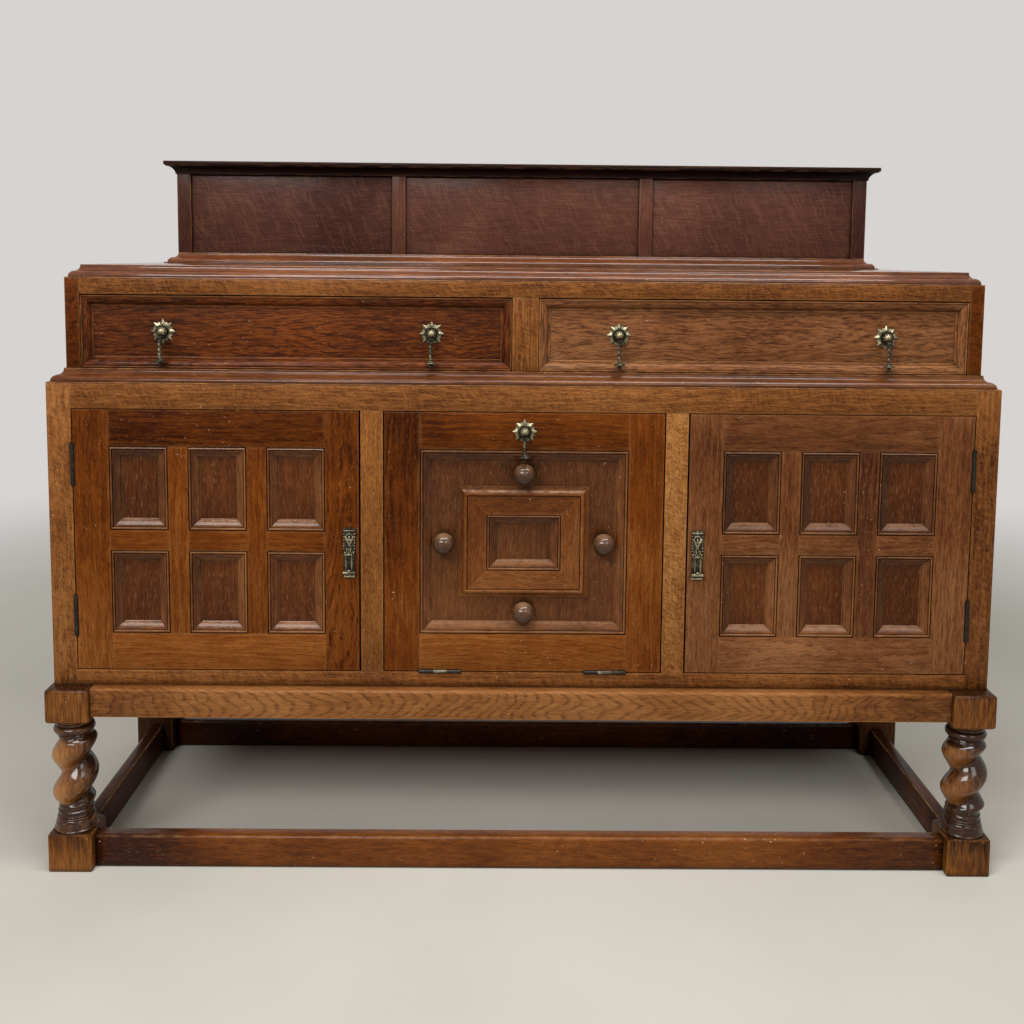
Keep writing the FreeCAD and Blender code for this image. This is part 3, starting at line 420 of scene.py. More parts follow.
    def ray_fleck(self, graph: Graph, log_place: Value) -> Value:
        """The rays that show across the grain of quarter-sawn boards, in slanting ripples.

        Args:
            graph: the finish's nodes.
            log_place: the place in the log.

        Returns:
            The rays' noise, about 0.5.
        """
        along, across, through = graph.parts(log_place)
        sway = graph.noise(log_place, (14.0, 40.0, 40.0), 1.0)
        slant = along + (across + through) * 0.45 + (sway - 0.5) * 0.02
        place = graph.value("ShaderNodeCombineXYZ", 0, None, {0: slant, 1: across, 2: through})
        return graph.noise(place, self.fleck_grain, 1.0)

    def worn_arris(self, graph: Graph, place: Value, spot: Value) -> Value:
        """Where hands and dusters have rubbed the stain off the arrises and the crowns of turnings.

        Args:
            graph: the finish's nodes.
            place: the place on the board from its middle.
            spot: the place on the whole piece.

        Returns:
            The wear, from 0 to 1.
        """
        depth = graph.vector("SUBTRACT", graph.attribute("half"), graph.vector("ABSOLUTE", place))
        first, second, third = graph.parts(depth)
        low = graph.maths("MINIMUM", first, second)
        high = graph.maths("MAXIMUM", first, second)
        edge = graph.maths("MAXIMUM", low, graph.maths("MINIMUM", high, third))
        rub = graph.noise(spot, (38.0, 38.0, 38.0), 4.0)
        near = 1 - graph.fade(edge + (rub - 0.5) * 0.012, 0.0, 0.0045)
        arris = graph.attribute("arris", "Fac") * graph.fade(rub, 0.38, 0.62)
        # Crowns follow the relief, so on the legs and knobs the worn colour also lands on the side painted as lit.
        crown = graph.fade(graph.attribute("relief", "Fac") + (rub - 0.5) * 0.5, 0.72, 1.1)
        most = graph.maths("MAXIMUM", near * 0.22, arris)
        return graph.maths("MAXIMUM", most, crown) * self.wear

    def pale_specks(self, graph: Graph, spot: Value) -> Value:
        """Small chips and specks, gathered in patches.

        Args:
            graph: the finish's nodes.
            spot: the place on the whole piece.

        Returns:
            The specks, from 0 to 1.
        """
        patch = graph.fade(graph.noise(spot, (6.0, 6.0, 6.0), 2.0), 0.42, 0.62)
        chip = graph.fade(graph.noise(spot, (230.0, 420.0, 280.0), 1.0), 0.758, 0.785)
        return chip * patch * self.specks


@dataclass(frozen=True)
class BrassFinish:
    """Old brass: dark in the hollows, rubbed pale on what stands out."""

    name: str
    slot: str
    dark: Colour
    rubbed: Colour
    shine: float = 0.75

    def material(self) -> bpy.types.Material:
        """Lay the finish out in nodes.

        Returns:
            The finish as a material.
        """
        graph = Graph(self.name)
        spot = graph.value("ShaderNodeTexCoord", "Object")
        open_side = graph.cavity(0.005, 4)
        stain = graph.noise(spot, (300.0, 300.0, 300.0), 4.0)
        cloud = graph.noise(spot, (80.0, 80.0, 80.0), 2.0)
        proud = graph.attribute("proud", "Fac")
        rub = graph.fade(open_side * 0.6 + proud * 0.45 + (stain - 0.5) * 0.5 + (cloud - 0.5) * 0.7, 0.55, 1.05)
        colour = graph.blend(rub, self.dark, self.rubbed)
        green = graph.fade(cloud + (0.5 - open_side) * 0.3, 0.5, 0.72) * (1 - rub)
        colour = graph.blend(green * 0.5, colour, VERDIGRIS)
        return graph.surface({
            "Base Color": colour,
            "Metallic": 0.5 + rub * (self.shine - 0.5),
            "Roughness": 0.46 - rub * 0.16 + (stain - 0.5) * 0.2,
            "Normal": graph.bump(stain, 0.0003, 0.3),
        })


@dataclass(frozen=True)
class FloorFinish:
    """A plain pale floor with a faint cloudiness, which fades out into the backdrop."""

    name: str
    pale: Colour
    shade: Colour
    clear_to: float = 1.4
    gone_at: float = 3.4

    def material(self) -> bpy.types.Material:
        """Lay the finish out in nodes.

        Returns:
            The finish as a material.
        """
        graph = Graph(self.name)
        spot = graph.value("ShaderNodeTexCoord", "Object")
        cloud = graph.noise(spot, (1.1, 1.1, 1.1), 5.0)
        colour = graph.blend(graph.fade(cloud, 0.3, 0.7), self.shade, self.pale)
        across, along, _ = graph.parts(spot)
        away = graph.maths("SQRT", across * across + along * along)
        return graph.surface({
            "Base Color": colour,
            "Roughness": 0.55 + cloud * 0.2,
            "Alpha": 1 - graph.fade(away, self.clear_to, self.gone_at),
        })


GALLERY_OAK = OakFinish("gallery_oak", "oak_dark", srgb(54, 28, 20), srgb(84, 50, 38), srgb(126, 88, 70),
                        pore=srgb(46, 22, 16), pore_depth=0.3, streaks=0.3, tick=50.0, mottle=0.3, figure=0.15,
                        vein=0.15, fleck=0.14, fleck_grain=(260.0, 20.0, 20.0), wear=0.3, specks=0.2, coat=0.05,
                        shine=0.06)
CORNICE_OAK = replace(GALLERY_OAK, name="cornice_oak", dark=srgb(14, 7, 5), mid=srgb(28, 14, 11),
                      light=srgb(54, 32, 25), fleck=0.0)
TOP_OAK = OakFinish("top_oak", "oak_dark", srgb(56, 26, 12), srgb(102, 55, 26), srgb(138, 86, 48),
                    pore_depth=0.35, figure=0.2, wear=0.8, specks=0.8, coat=0.75, coat_roughness=0.06,
                    roughness=0.3, shine=0.06)
DRAWER_OAK = OakFinish("drawer_oak", "oak_case", srgb(34, 9, 2), srgb(106, 49, 13), srgb(146, 87, 40),
                       pore_depth=0.4, streaks=0.25, ring_width=0.0038, sway=6.0, ripple=1.1, mottle=0.25,
                       figure=1.0, broken=0.35, vein=0.6, wear=0.5, specks=0.4, coat=0.08,
                       coat_roughness=0.1)
# Paler and greyer than the left drawer: partly painted sheen of the light from the right.
RIGHT_DRAWER_OAK = replace(DRAWER_OAK, name="right_drawer_oak", dark=srgb(44, 18, 8), mid=srgb(117, 70, 38),
                           light=srgb(152, 104, 65), figure=0.6)
FRAME_OAK = OakFinish("frame_oak", "oak_case", srgb(46, 14, 1), srgb(105, 51, 10), srgb(140, 84, 36),
                      pore=srgb(46, 17, 4), pore_depth=0.42, streaks=0.45, ring_width=0.0042, sway=3.0, ripple=1.2,
                      mottle=0.4, figure=1.0, vein=0.12, lighter_low=0.3, wear=0.5, specks=0.4, coat=0.03, shine=0.04)
# Paler and greyer than the left frame: partly painted sheen of the light from the right.
RIGHT_FRAME_OAK = replace(FRAME_OAK, name="right_frame_oak", dark=srgb(54, 25, 12), mid=srgb(106, 62, 33),
                          light=srgb(138, 92, 57), vein=0.32)
PANEL_OAK = OakFinish("panel_oak", "oak_case", srgb(44, 18, 5), srgb(77, 38, 14), srgb(106, 60, 28),
                      pore=srgb(152, 106, 70), pore_depth=0.4, pore_cover=0.55, streaks=0.4, tick=80.0,
                      figure=0.45, wear=0.4, specks=0.4)
FIELD_OAK = OakFinish("field_oak", "oak_case", srgb(48, 22, 8), srgb(74, 40, 18), srgb(104, 62, 33),
                      pore=srgb(150, 108, 74), pore_depth=0.36, pore_cover=0.55, streaks=0.4, tick=80.0,
                      figure=0.3, lighter_low=0.2, wear=0.3, specks=0.4)
MOULDING_OAK = OakFinish("moulding_oak", "oak_case", srgb(48, 21, 6), srgb(92, 50, 20), srgb(134, 84, 44),
                         pore_depth=0.35, streaks=0.4, figure=0.15, lighter_low=0.2, wear=0.9, specks=0.4, dust=0.42,
                         coat=0.25, coat_roughness=0.12, roughness=0.3, shine=0.06)
WAIST_OAK = OakFinish("waist_oak", "oak_case", srgb(46, 20, 7), srgb(84, 44, 18), srgb(124, 76, 38),
                      pore_depth=0.4, streaks=0.5, figure=0.15, wear=0.9, specks=0.8, coat=0.3,
                      coat_roughness=0.07, roughness=0.3, shine=0.06)
TABLET_OAK = OakFinish("tablet_oak", "oak_case", srgb(58, 24, 6), srgb(106, 58, 23), srgb(138, 86, 45),
                       pore=srgb(50, 20, 5), pore_depth=0.5, streaks=0.2, figure=0.2, lighter_low=0.2, wear=0.6,
                       specks=0.5, dust=0.65)
POST_OAK = OakFinish("post_oak", "oak_case", srgb(54, 24, 8), srgb(118, 69, 30), srgb(154, 100, 52),
                     pore=srgb(48, 20, 5), pore_depth=0.6, streaks=0.8, tick=100.0, ring_width=0.005, ripple=1.2,
                     mottle=0.4, figure=0.8, fleck=0.4, wear=0.5, specks=0.4)
MULLION_OAK = OakFinish("mullion_oak", "oak_case", srgb(78, 40, 10), srgb(132, 80, 34), srgb(168, 116, 64),
                        pore_depth=0.6, streaks=0.4, mottle=0.4, figure=0.1, fleck=0.42,
                        fleck_grain=(400.0, 90.0, 90.0), wear=0.5, specks=0.4)
APRON_OAK = OakFinish("apron_oak", "oak_stand", srgb(66, 31, 11), srgb(134, 84, 42), srgb(160, 108, 62),
                      ring_width=0.0052, sway=7.0, ripple=0.5, run=45.0, pore_depth=0.3, streaks=0.3, figure=0.7,
                      end_shade=0.2, wear=0.9, specks=0.6)
# Its golden worn colour also paints the lit side of the twist as painted light.
LEG_OAK = OakFinish("leg_oak", "oak_stand", srgb(34, 13, 5), srgb(122, 74, 31), srgb(164, 110, 58),
                    worn=srgb(176, 112, 44), pore_depth=0.4, streaks=0.4, tick=60.0, figure=0.2, painted_relief_light=1.1,
                    wear=0.7, specks=0.6, coat=0.1, turned_coat=0.5, coat_roughness=0.07, roughness=0.24, shine=0.05)
REAR_LEG_OAK = OakFinish("rear_leg_oak", "oak_stand", srgb(30, 14, 7), srgb(66, 36, 16), srgb(104, 64, 32),
                         pore_depth=0.45, streaks=0.5, figure=0.2, wear=0.5, specks=0.4)
KNOB_OAK = OakFinish("knob_oak", "oak_case", srgb(34, 19, 10), srgb(66, 41, 24), srgb(104, 70, 45),
                     worn=srgb(150, 116, 84), pore_depth=0.4, figure=0.15, painted_relief_light=0.5, wear=0.3, specks=0.6,
                     dust=0.1, coat=0.6, coat_roughness=0.06, roughness=0.3, shine=0.06)
STRETCHER_OAK = OakFinish("stretcher_oak", "oak_stand", srgb(44, 15, 5), srgb(106, 55, 13), srgb(136, 78, 28),
                          worn=srgb(186, 144, 96), pore_depth=0.4, streaks=0.35, figure=0.1, end_shade=0.4,
                          wear=0.8, specks=1.0, coat=0.14, roughness=0.3, shine=0.08)
INSIDE_OAK = OakFinish("inside_oak", "oak_inside", srgb(82, 54, 34), srgb(134, 96, 62), srgb(164, 124, 86),
                       figure=0.4, wear=0.2, specks=0.2, coat=0.0, roughness=0.6)
CAST_BRASS = BrassFinish("cast_brass", "brass_cast", srgb(30, 27, 18), srgb(146, 137, 107), 0.8)
PLAIN_BRASS = BrassFinish("plain_brass", "brass_plain", srgb(24, 18, 12), srgb(82, 68, 46), 0.6)
RUBBED_BRASS = BrassFinish("rubbed_brass", "brass_plain", srgb(70, 62, 46), srgb(184, 172, 142), 0.7)
PALE_FLOOR = FloorFinish("pale_floor", srgb(198, 194, 183), srgb(184, 180, 169))

CAST_SMOOTH = 30.0
TURNED_SMOOTH = 32.0
MOULDING_SMOOTH = 28.0
FINE_EASE = 0.0006
FRAME_EASE, FRAME_RIM_EASE = 0.0008, 0.0012

MATERIALS: dict[str, bpy.types.Material] = {}


def material_of(finish: OakFinish | BrassFinish | FloorFinish) -> bpy.types.Material:
    """A finish's material, made once.

    Args:
        finish: the finish.

    Returns:
        Its material.
    """
    if finish.name not in MATERIALS:
        MATERIALS[finish.name] = finish.material()
    return MATERIALS[finish.name]


# Bench work


def work_on(piece: bpy.types.Object) -> None:
    """Select a piece alone in object mode and make it the active one.

    Args:
        piece: the piece to work on.
    """
    if bpy.context.mode != "OBJECT":
        bpy.ops.object.mode_set(mode="OBJECT")
    bpy.ops.object.select_all(action="DESELECT")
    piece.select_set(True)
    bpy.context.view_layer.objects.active = piece


def named(name: str) -> bpy.types.Object:
    """Name the piece that was just added and set its place into its mesh.

    Args:
        name: the piece's name.

    Returns:
        The piece.
    """
    piece = bpy.context.object
    piece.name = name
    piece.data.name = name
    bpy.ops.object.transform_apply(location=True, rotation=True, scale=True)
    return piece


def block(name: str, low: Sequence[float], high: Sequence[float]) -> bpy.types.Object:
    """A rectangular block.

    Args:
        name: the piece's name.
        low, high: its two far corners.

    Returns:
        The block, with its place in its mesh.
    """
    low, high = Vector(low), Vector(high)
    bpy.ops.object.select_all(action="DESELECT")
    bpy.ops.mesh.primitive_cube_add(size=1.0, location=(low + high) / 2, scale=high - low)
    return named(name)


def ball(name: str, centre: Sequence[float], size: Sequence[float]) -> bpy.types.Object:
    """A bead with its own radius along each axis.

    Args:
        name: the piece's name.
        centre: its middle.
        size: its three radii.

    Returns:
        The bead.
    """
    bpy.ops.object.select_all(action="DESELECT")
    bpy.ops.mesh.primitive_ico_sphere_add(subdivisions=3, radius=1.0, location=centre, scale=size)
    return named(name)


def rod(name: str, centre: Sequence[float], radius: float, length: float, axis: str) -> bpy.types.Object:
    """A round rod along one axis, with rounded ends.

    Args:
        name: the piece's name.
        centre: its middle.
        radius, length: its size.
        axis: "X" or "Z".

    Returns:
        The rod.
    """
    bpy.ops.object.select_all(action="DESELECT")
    turn = (0.0, math.pi / 2, 0.0) if axis == "X" else (0.0, 0.0, 0.0)
    bpy.ops.mesh.primitive_cylinder_add(vertices=20, radius=radius, depth=length, location=centre, rotation=turn)
    piece = named(name)
    ease_edges(piece, radius * 0.4, 2)
    return piece


def ring(name: str, centre: Sequence[float], radius: float, wire: float, turn: Triple) -> bpy.types.Object:
    """A ring of round wire.

    Args:
        name: the piece's name.
        centre: its middle.
        radius: to the middle of the wire.
        wire: the wire's radius.
        turn: the ring's rotation from lying flat.

    Returns:
        The ring.
    """
    bpy.ops.object.select_all(action="DESELECT")
    bpy.ops.mesh.primitive_torus_add(major_radius=radius, minor_radius=wire, major_segments=32,
                                     minor_segments=12, location=centre, rotation=turn)
    return named(name)


def from_points(name: str, points: Sequence, edges: Sequence = (), faces: Sequence = ()) -> bpy.types.Object:
    """A piece from points, edges and faces.

    Args:
        name: the piece's name.
        points: the places of its points.
        edges, faces: the points' numbers in each edge and each face.

    Returns:
        The piece.
    """
    mesh = bpy.data.meshes.new(name)
    mesh.from_pydata([tuple(p) for p in points], edges, faces)
    piece = bpy.data.objects.new(name, mesh)
    bpy.context.scene.collection.objects.link(piece)
    return piece


PATTERNS: dict[str, bpy.types.Mesh] = {}


def from_pattern(name: str, model: Callable[[], bpy.types.Object]) -> bpy.types.Object:
    """A copy, with its own mesh, of a piece that is modelled once.

    Args:
        name: the pattern's name.
        model: makes the piece the first time.

    Returns:
        The copy.
    """
    if name not in PATTERNS:
        first = model()
        PATTERNS[name] = first.data
        bpy.data.objects.remove(first)
    piece = bpy.data.objects.new(name, PATTERNS[name].copy())
    bpy.context.scene.collection.objects.link(piece)
    return piece


def cut_upright(piece: bpy.types.Object, cuts: int) -> None:
    """Divide the upright edges of a piece, which gives it a ring of points at each cut.

    Args:
        piece: the piece to work on.
        cuts: how many rings are added.
    """
    work_on(piece)
    bpy.ops.object.mode_set(mode="EDIT")
    bpy.ops.mesh.select_mode(type="EDGE")
    bpy.ops.mesh.select_all(action="DESELECT")
    net = bmesh.from_edit_mesh(piece.data)
    for edge in net.edges:
        along = edge.verts[0].co - edge.verts[1].co
        edge.select_set(abs(along.z) > along.xy.length)
    bmesh.update_edit_mesh(piece.data)
    bpy.ops.mesh.subdivide(number_cuts=cuts)
    bpy.ops.object.mode_set(mode="OBJECT")


def wrung(piece: bpy.types.Object, angle: float) -> None:
    """Twist a piece about the upright axis through the origin.

    Args:
        piece: the piece to work on.
        angle: how far its head turns against its foot.
    """
    work_on(piece)
    twist = piece.modifiers.new("twist", "SIMPLE_DEFORM")
    twist.deform_method = "TWIST"
    twist.deform_axis = "Z"
    twist.angle = angle
    bpy.ops.object.modifier_apply(modifier="twist")


def turning(name: str, profile: Sequence[tuple[float, float]], centre: Sequence[float], axis: Sequence[float],
            steps: int = 48) -> bpy.types.Object:
    """A turning on the lathe.

    Args:
        name: the piece's name.
        profile: (radius, distance along the axis) points; radius 0 closes an end.
        centre: where the distance is 0.
        axis: the lathe's axis.
        steps: how many facets it has round.

    Returns:
        The closed turning.
    """
    axis, centre = Vector(axis), Vector(centre)
    side = axis.orthogonal().normalized()
    points = [centre + side * radius + axis * distance for radius, distance in profile]
    edges = [(i, i + 1) for i in range(len(points) - 1)]
    piece = from_points(name, points, edges)
    work_on(piece)
    bpy.ops.object.mode_set(mode="EDIT")
    bpy.ops.mesh.select_all(action="SELECT")
    bpy.ops.mesh.spin(steps=steps, angle=FULL_TURN, center=centre, axis=axis)
    bpy.ops.mesh.select_all(action="SELECT")
    bpy.ops.mesh.remove_doubles(threshold=1e-6)
    bpy.ops.mesh.normals_make_consistent(inside=False)
    bpy.ops.object.mode_set(mode="OBJECT")
    return piece


def arc(centre: tuple[float, float], radius: float, start: float, end: float, steps: int) -> list[tuple[float, float]]:
    """Points on a round stretch of a profile.

    Args:
        centre: the arc's middle, as (radius, distance).
        radius: its own radius.
        start, end: its angles in degrees, from the outward direction towards the far end.
        steps: how many chords it has.

    Returns:
        The points, both ends included.
    """
    points = []
    for step in range(steps + 1):
        angle = math.radians(start + (end - start) * step / steps)
        points.append((centre[0] + radius * math.cos(angle), centre[1] + radius * math.sin(angle)))
    return points


def on_rim(edge: bmesh.types.BMEdge, low: Vector, high: Vector) -> bool:
    """Whether an edge lies in a box's front face and along its outline.

    Args:
        edge: the edge.
        low, high: the box's corners.

    Returns:
        True on the outline.
    """
    near = 1e-5
    ends = [end.co for end in edge.verts]
    if any(end.y > low.y + near for end in ends):
        return False
    for axis in (0, 2):
        for limit in (low[axis], high[axis]):
            if all(abs(end[axis] - limit) < near for end in ends):
                return True
    return False


def ease_edges(piece: bpy.types.Object, width: float, steps: int = 2, sharper: float = 35.0,
               marked: int = -1, rim: Sequence[Vector] = ()) -> None:
    """Round the outward edges of a piece that turn by more than an angle.

    Args:
        piece: the piece to work on.
        width: how far the rounding reaches.
        steps: its facets.
        sharper: the least turn, in degrees.
        marked: the material slot that marks the rounding, or -1.
        rim: the corners of a box, where only the front edges round its outline are wanted.
    """
    work_on(piece)
    bpy.ops.object.mode_set(mode="EDIT")
    bpy.ops.mesh.select_mode(type="EDGE")
    bpy.ops.mesh.select_all(action="DESELECT")
    net = bmesh.from_edit_mesh(piece.data)
    least = math.radians(sharper)
    for edge in net.edges:
        wanted = edge.is_manifold and edge.is_convex and edge.calc_face_angle() > least
        edge.select_set(wanted and (not rim or on_rim(edge, *rim)))
    bmesh.update_edit_mesh(piece.data)
    bpy.ops.mesh.bevel(offset=width, segments=steps, affect="EDGES", clamp_overlap=True, material=marked)
    bpy.ops.object.mode_set(mode="OBJECT")


def joined(name: str, parts: Sequence[bpy.types.Object]) -> bpy.types.Object:
    """Join several pieces.

    Args:
        name: the whole piece's name.
        parts: the pieces, the first of which takes up the others.

    Returns:
        The whole piece.
    """
    work_on(parts[0])
    for part in parts:
        part.select_set(True)
    bpy.ops.object.join()
    piece = bpy.context.object
    piece.name = name
    piece.data.name = name
    return piece


def smooth(piece: bpy.types.Object, angle: float) -> None:
    """Shade a piece smooth except over edges sharper than an angle in degrees."""
    work_on(piece)
    bpy.ops.object.shade_smooth_by_angle(angle=math.radians(angle))


def write_points(piece: bpy.types.Object, name: str, values: Sequence[float]) -> None:
    """Write one number for each point of a piece as an attribute."""
    layer = piece.data.attributes.new(name, "FLOAT", "POINT")
    layer.data.foreach_set("value", values)


def mark_upward(piece: bpy.types.Object) -> None:
    """Write how far each corner of a piece's faces looks up, which is where a dusty film settles and where a painted
    sheen is laid.

    Args:
        piece: the piece to mark.
    """
    mesh = piece.data
    normals = np.empty(len(mesh.loops) * 3, np.float32)
    mesh.corner_normals.foreach_get("vector", normals)
    layer = mesh.attributes.new("up", "FLOAT", "CORNER")
    layer.data.foreach_set("value", normals[2::3].copy())


def handed_over(piece: bpy.types.Object, body: str, nodes: Sequence[str],
                finish: OakFinish | BrassFinish) -> bpy.types.Object:
    """Dress a finished piece and set it on its body.

    Args:
        piece: the piece, with its place in its mesh.
        body: the body that it moves with.
        nodes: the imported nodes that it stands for.
        finish: its finish.

    Returns:
        The same piece.
    """
    piece.data.materials.clear()
    piece.data.materials.append(material_of(finish))
    if isinstance(finish, OakFinish):
        mark_upward(piece)
    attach(piece, body)
    if nodes:
        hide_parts(*nodes)
    log.info("%s on %s, %d faces, %s", piece.name, body, len(piece.data.polygons), finish.name)
    return piece


# Boards


class Cut(Enum):
    """How a board was sawn from its log: the direction of its pith, in degrees from its width."""

    QUARTER = 4.0
    RIFT = 40.0
    CROWN = 84.0


@dataclass(frozen=True)
class Grain:
    """How boards lie in their logs; an upright board at least half as tall as it is long takes its grain up it."""

    cut: Cut
    near: float = 0.05
    far: float = 0.12
    upright: bool = False
    tones: tuple[tuple[int, float], ...] = ()
    crowns: tuple[int, ...] = ()
    bold: tuple[int, ...] | None = None
    faint: float = 0.1

    def order(self, size: np.ndarray) -> np.ndarray:
        """Rank a board's axes.

        Args:
            size: the board's size along each axis.

        Returns:
            The axes from its length to its thickness.
        """
        rank = size.copy()
        if self.upright and size[2] >= size.max() / 2:
            rank[2] = size.max() * 2
        return np.argsort(-rank, kind="stable")

    def mark(self, piece: bpy.types.Object, board_of_point: np.ndarray, boxes: Sequence, seed: str,
             relief: np.ndarray | None = None) -> None:
        """Write the attributes that the oak finishes read.

        Args:
            piece: the piece to mark.
            board_of_point: the board that each point belongs to.
            boxes: each board's lowest and highest corner.
            seed: what makes this piece's boards differ from the others'.
            relief: how far each point stands out or faces the lit side, from 0 to 1; the finish paints it lighter as
                painted light and wears its crowns.
        """
        mesh = piece.data
        count = len(mesh.vertices)
        points = np.empty(count * 3, np.float32)
        mesh.vertices.foreach_get("co", points)
        points = points.reshape(-1, 3)
        place, half, log_place = (np.zeros((count, 3), np.float32) for _ in range(3))
        tone, show = np.zeros(count, np.float32), np.zeros(count, np.float32)
        for index, (low, high) in enumerate(boxes):
            mine = board_of_point == index
            draw = random.Random(f"{seed} {index}")
            size = high - low
            order = self.order(size)
            place[mine] = (points[mine] - (low + high) / 2)[:, order]
            half[mine] = size[order] / 2
            pith = draw.uniform(self.near, self.far)
            cut = Cut.CROWN if index in self.crowns else self.cut
            angle = math.radians(cut.value + draw.uniform(-7.0, 7.0))
            side = draw.choice((-1.0, 1.0))
            log_place[mine] = (draw.uniform(0.0, 40.0), side * pith * math.cos(angle), pith * math.sin(angle))
            tone[mine] = dict(self.tones).get(index, draw.uniform(0.25, 0.75))
            show[mine] = 1.0 if self.bold is None or index in self.bold else self.faint
        for name, values in (("place", place), ("half", half), ("log", log_place)):
            layer = mesh.attributes.new(name, "FLOAT_VECTOR", "POINT")
            layer.data.foreach_set("vector", values.ravel())
        relief = np.full(count, 0.5, np.float32) if relief is None else relief.astype(np.float32)
        for name, values in (("tone", tone), ("show", show), ("relief", relief)):
            layer = mesh.attributes.new(name, "FLOAT", "POINT")
            layer.data.foreach_set("value", values)

    def mark_single(self, piece: bpy.types.Object, seed: str, relief: np.ndarray | None = None) -> None:
        """Write the attributes of a piece that is one board or one turning.

        Args:
            piece: the piece to mark.
            seed: what makes it differ from the others.
            relief: how far each point stands out or faces the lit side, from 0 to 1; the finish paints it lighter as
                painted light and wears its crowns.
        """
        points = np.array([v.co for v in piece.data.vertices], np.float32)
        boxes = [(points.min(0), points.max(0))]
        self.mark(piece, np.zeros(len(points), int), boxes, seed, relief)
        arris = piece.data.attributes.new("arris", "FLOAT", "FACE")
        arris.data.foreach_set("value", np.zeros(len(piece.data.polygons), np.float32))


FIELD_SLOT, ARRIS_SLOT = 0, 1


@dataclass
class Boards:
    """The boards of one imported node, taken over with eased arrises and grain of their own."""

    node: str
    finish: OakFinish
    grain: Grain = Grain(Cut.RIFT)
    ease: float = 0.0012
    rim_ease: float = 0.0
    smooth_under: float = 24.0

    def shells(self) -> list[list[list[tuple[int, int, int]]]]:
        """The node's triangles sorted into boards.

        Returns:
            One list of triangles for each closed shell, each corner in micrometres.
        """
        mesh = frame["nodes"][self.node].data
        keys = [tuple(round(c * 1e6) for c in v.co) for v in mesh.vertices]
        shells, triangles = [], []
        open_edges: dict[tuple, int] = {}
        for face in mesh.polygons:
            corners = [keys[i] for i in face.vertices]
            triangles.append(corners)
            for start, end in zip(corners, corners[1:] + corners[:1]):
                if open_edges.get((end, start)):
                    open_edges[end, start] -= 1
                    if not open_edges[end, start]:
                        del open_edges[end, start]
                else:
                    open_edges[start, end] = open_edges.get((start, end), 0) + 1
            if not open_edges:
                shells.append(triangles)
                triangles = []
        return shells + ([triangles] if triangles else [])

    def copy(self, shells: list) -> tuple[bpy.types.Object, list]:
        """A merged copy of the boards in one mesh, in which no two boards share a point.

        Args:
            shells: the boards' triangles.

        Returns:
            The piece and each board's lowest and highest corner.
        """
        points, faces, owners, boxes = [], [], [], []
        for index, triangles in enumerate(shells):
            numbers: dict[tuple, int] = {}
            start = len(points)
            for corners in triangles:
                for corner in corners:
                    if corner not in numbers:
                        numbers[corner] = len(points)
                        points.append([c * 1e-6 for c in corner])
                faces.append([numbers[corner] for corner in corners])
                owners.append(index)
            mine = np.array(points[start:])
            boxes.append((mine.min(0), mine.max(0)))
        piece = from_points(f"{self.node}_oak", points, (), faces)
        layer = piece.data.attributes.new("board", "INT", "FACE")
        layer.data.foreach_set("value", owners)
        return piece, boxes

    def flatten(self, piece: bpy.types.Object) -> None:
        """Dissolve the triangles of flat faces.

        Args:
            piece: the piece to work on.
        """
        work_on(piece)
        bpy.ops.object.mode_set(mode="EDIT")
        bpy.ops.mesh.select_all(action="SELECT")
        bpy.ops.mesh.dissolve_degenerate(threshold=1e-6)
        bpy.ops.mesh.select_all(action="SELECT")
        bpy.ops.mesh.dissolve_limited(angle_limit=math.radians(0.5))
        bpy.ops.object.mode_set(mode="OBJECT")

    def flag_arrises(self, piece: bpy.types.Object) -> np.ndarray:
        """Mark the faces of eased arrises and find each point's board.

        Args:
            piece: the piece, with its arrises in their own material slot.

        Returns:
            The board of each point.
        """
        mesh = piece.data
        count = len(mesh.polygons)
        slots, board = np.empty(count, np.int32), np.empty(count, np.int32)
        mesh.polygons.foreach_get("material_index", slots)
        mesh.attributes["board"].data.foreach_get("value", board)
        layer = mesh.attributes.new("arris", "FLOAT", "FACE")
        layer.data.foreach_set("value", (slots == ARRIS_SLOT).astype(np.float32))
        mesh.polygons.foreach_set("material_index", np.zeros(count, np.int32))
        starts, corners = np.empty(count, np.int32), np.empty(len(mesh.loops), np.int32)
        mesh.polygons.foreach_get("loop_total", starts)
        mesh.loops.foreach_get("vertex_index", corners)
        board_of_point = np.zeros(len(mesh.vertices), int)
        board_of_point[corners] = np.repeat(board, starts)
        return board_of_point

    def build(self) -> bpy.types.Object:
        """Make the boards, ease them, mark their grain and set them on the node's body.

        Returns:
            The boards as one piece.
        """
        piece, boxes = self.copy(self.shells())
        for _ in (FIELD_SLOT, ARRIS_SLOT):
            piece.data.materials.append(material_of(self.finish))
        self.flatten(piece)
        if self.rim_ease:
            ease_edges(piece, self.rim_ease, 3, rim=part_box(self.node))
        ease_edges(piece, self.ease, 2, marked=ARRIS_SLOT)
        self.grain.mark(piece, self.flag_arrises(piece), boxes, self.node)
        smooth(piece, self.smooth_under)
        body = body_of(frame["nodes"][self.node])[0]
        return handed_over(piece, body, [self.node], self.finish)


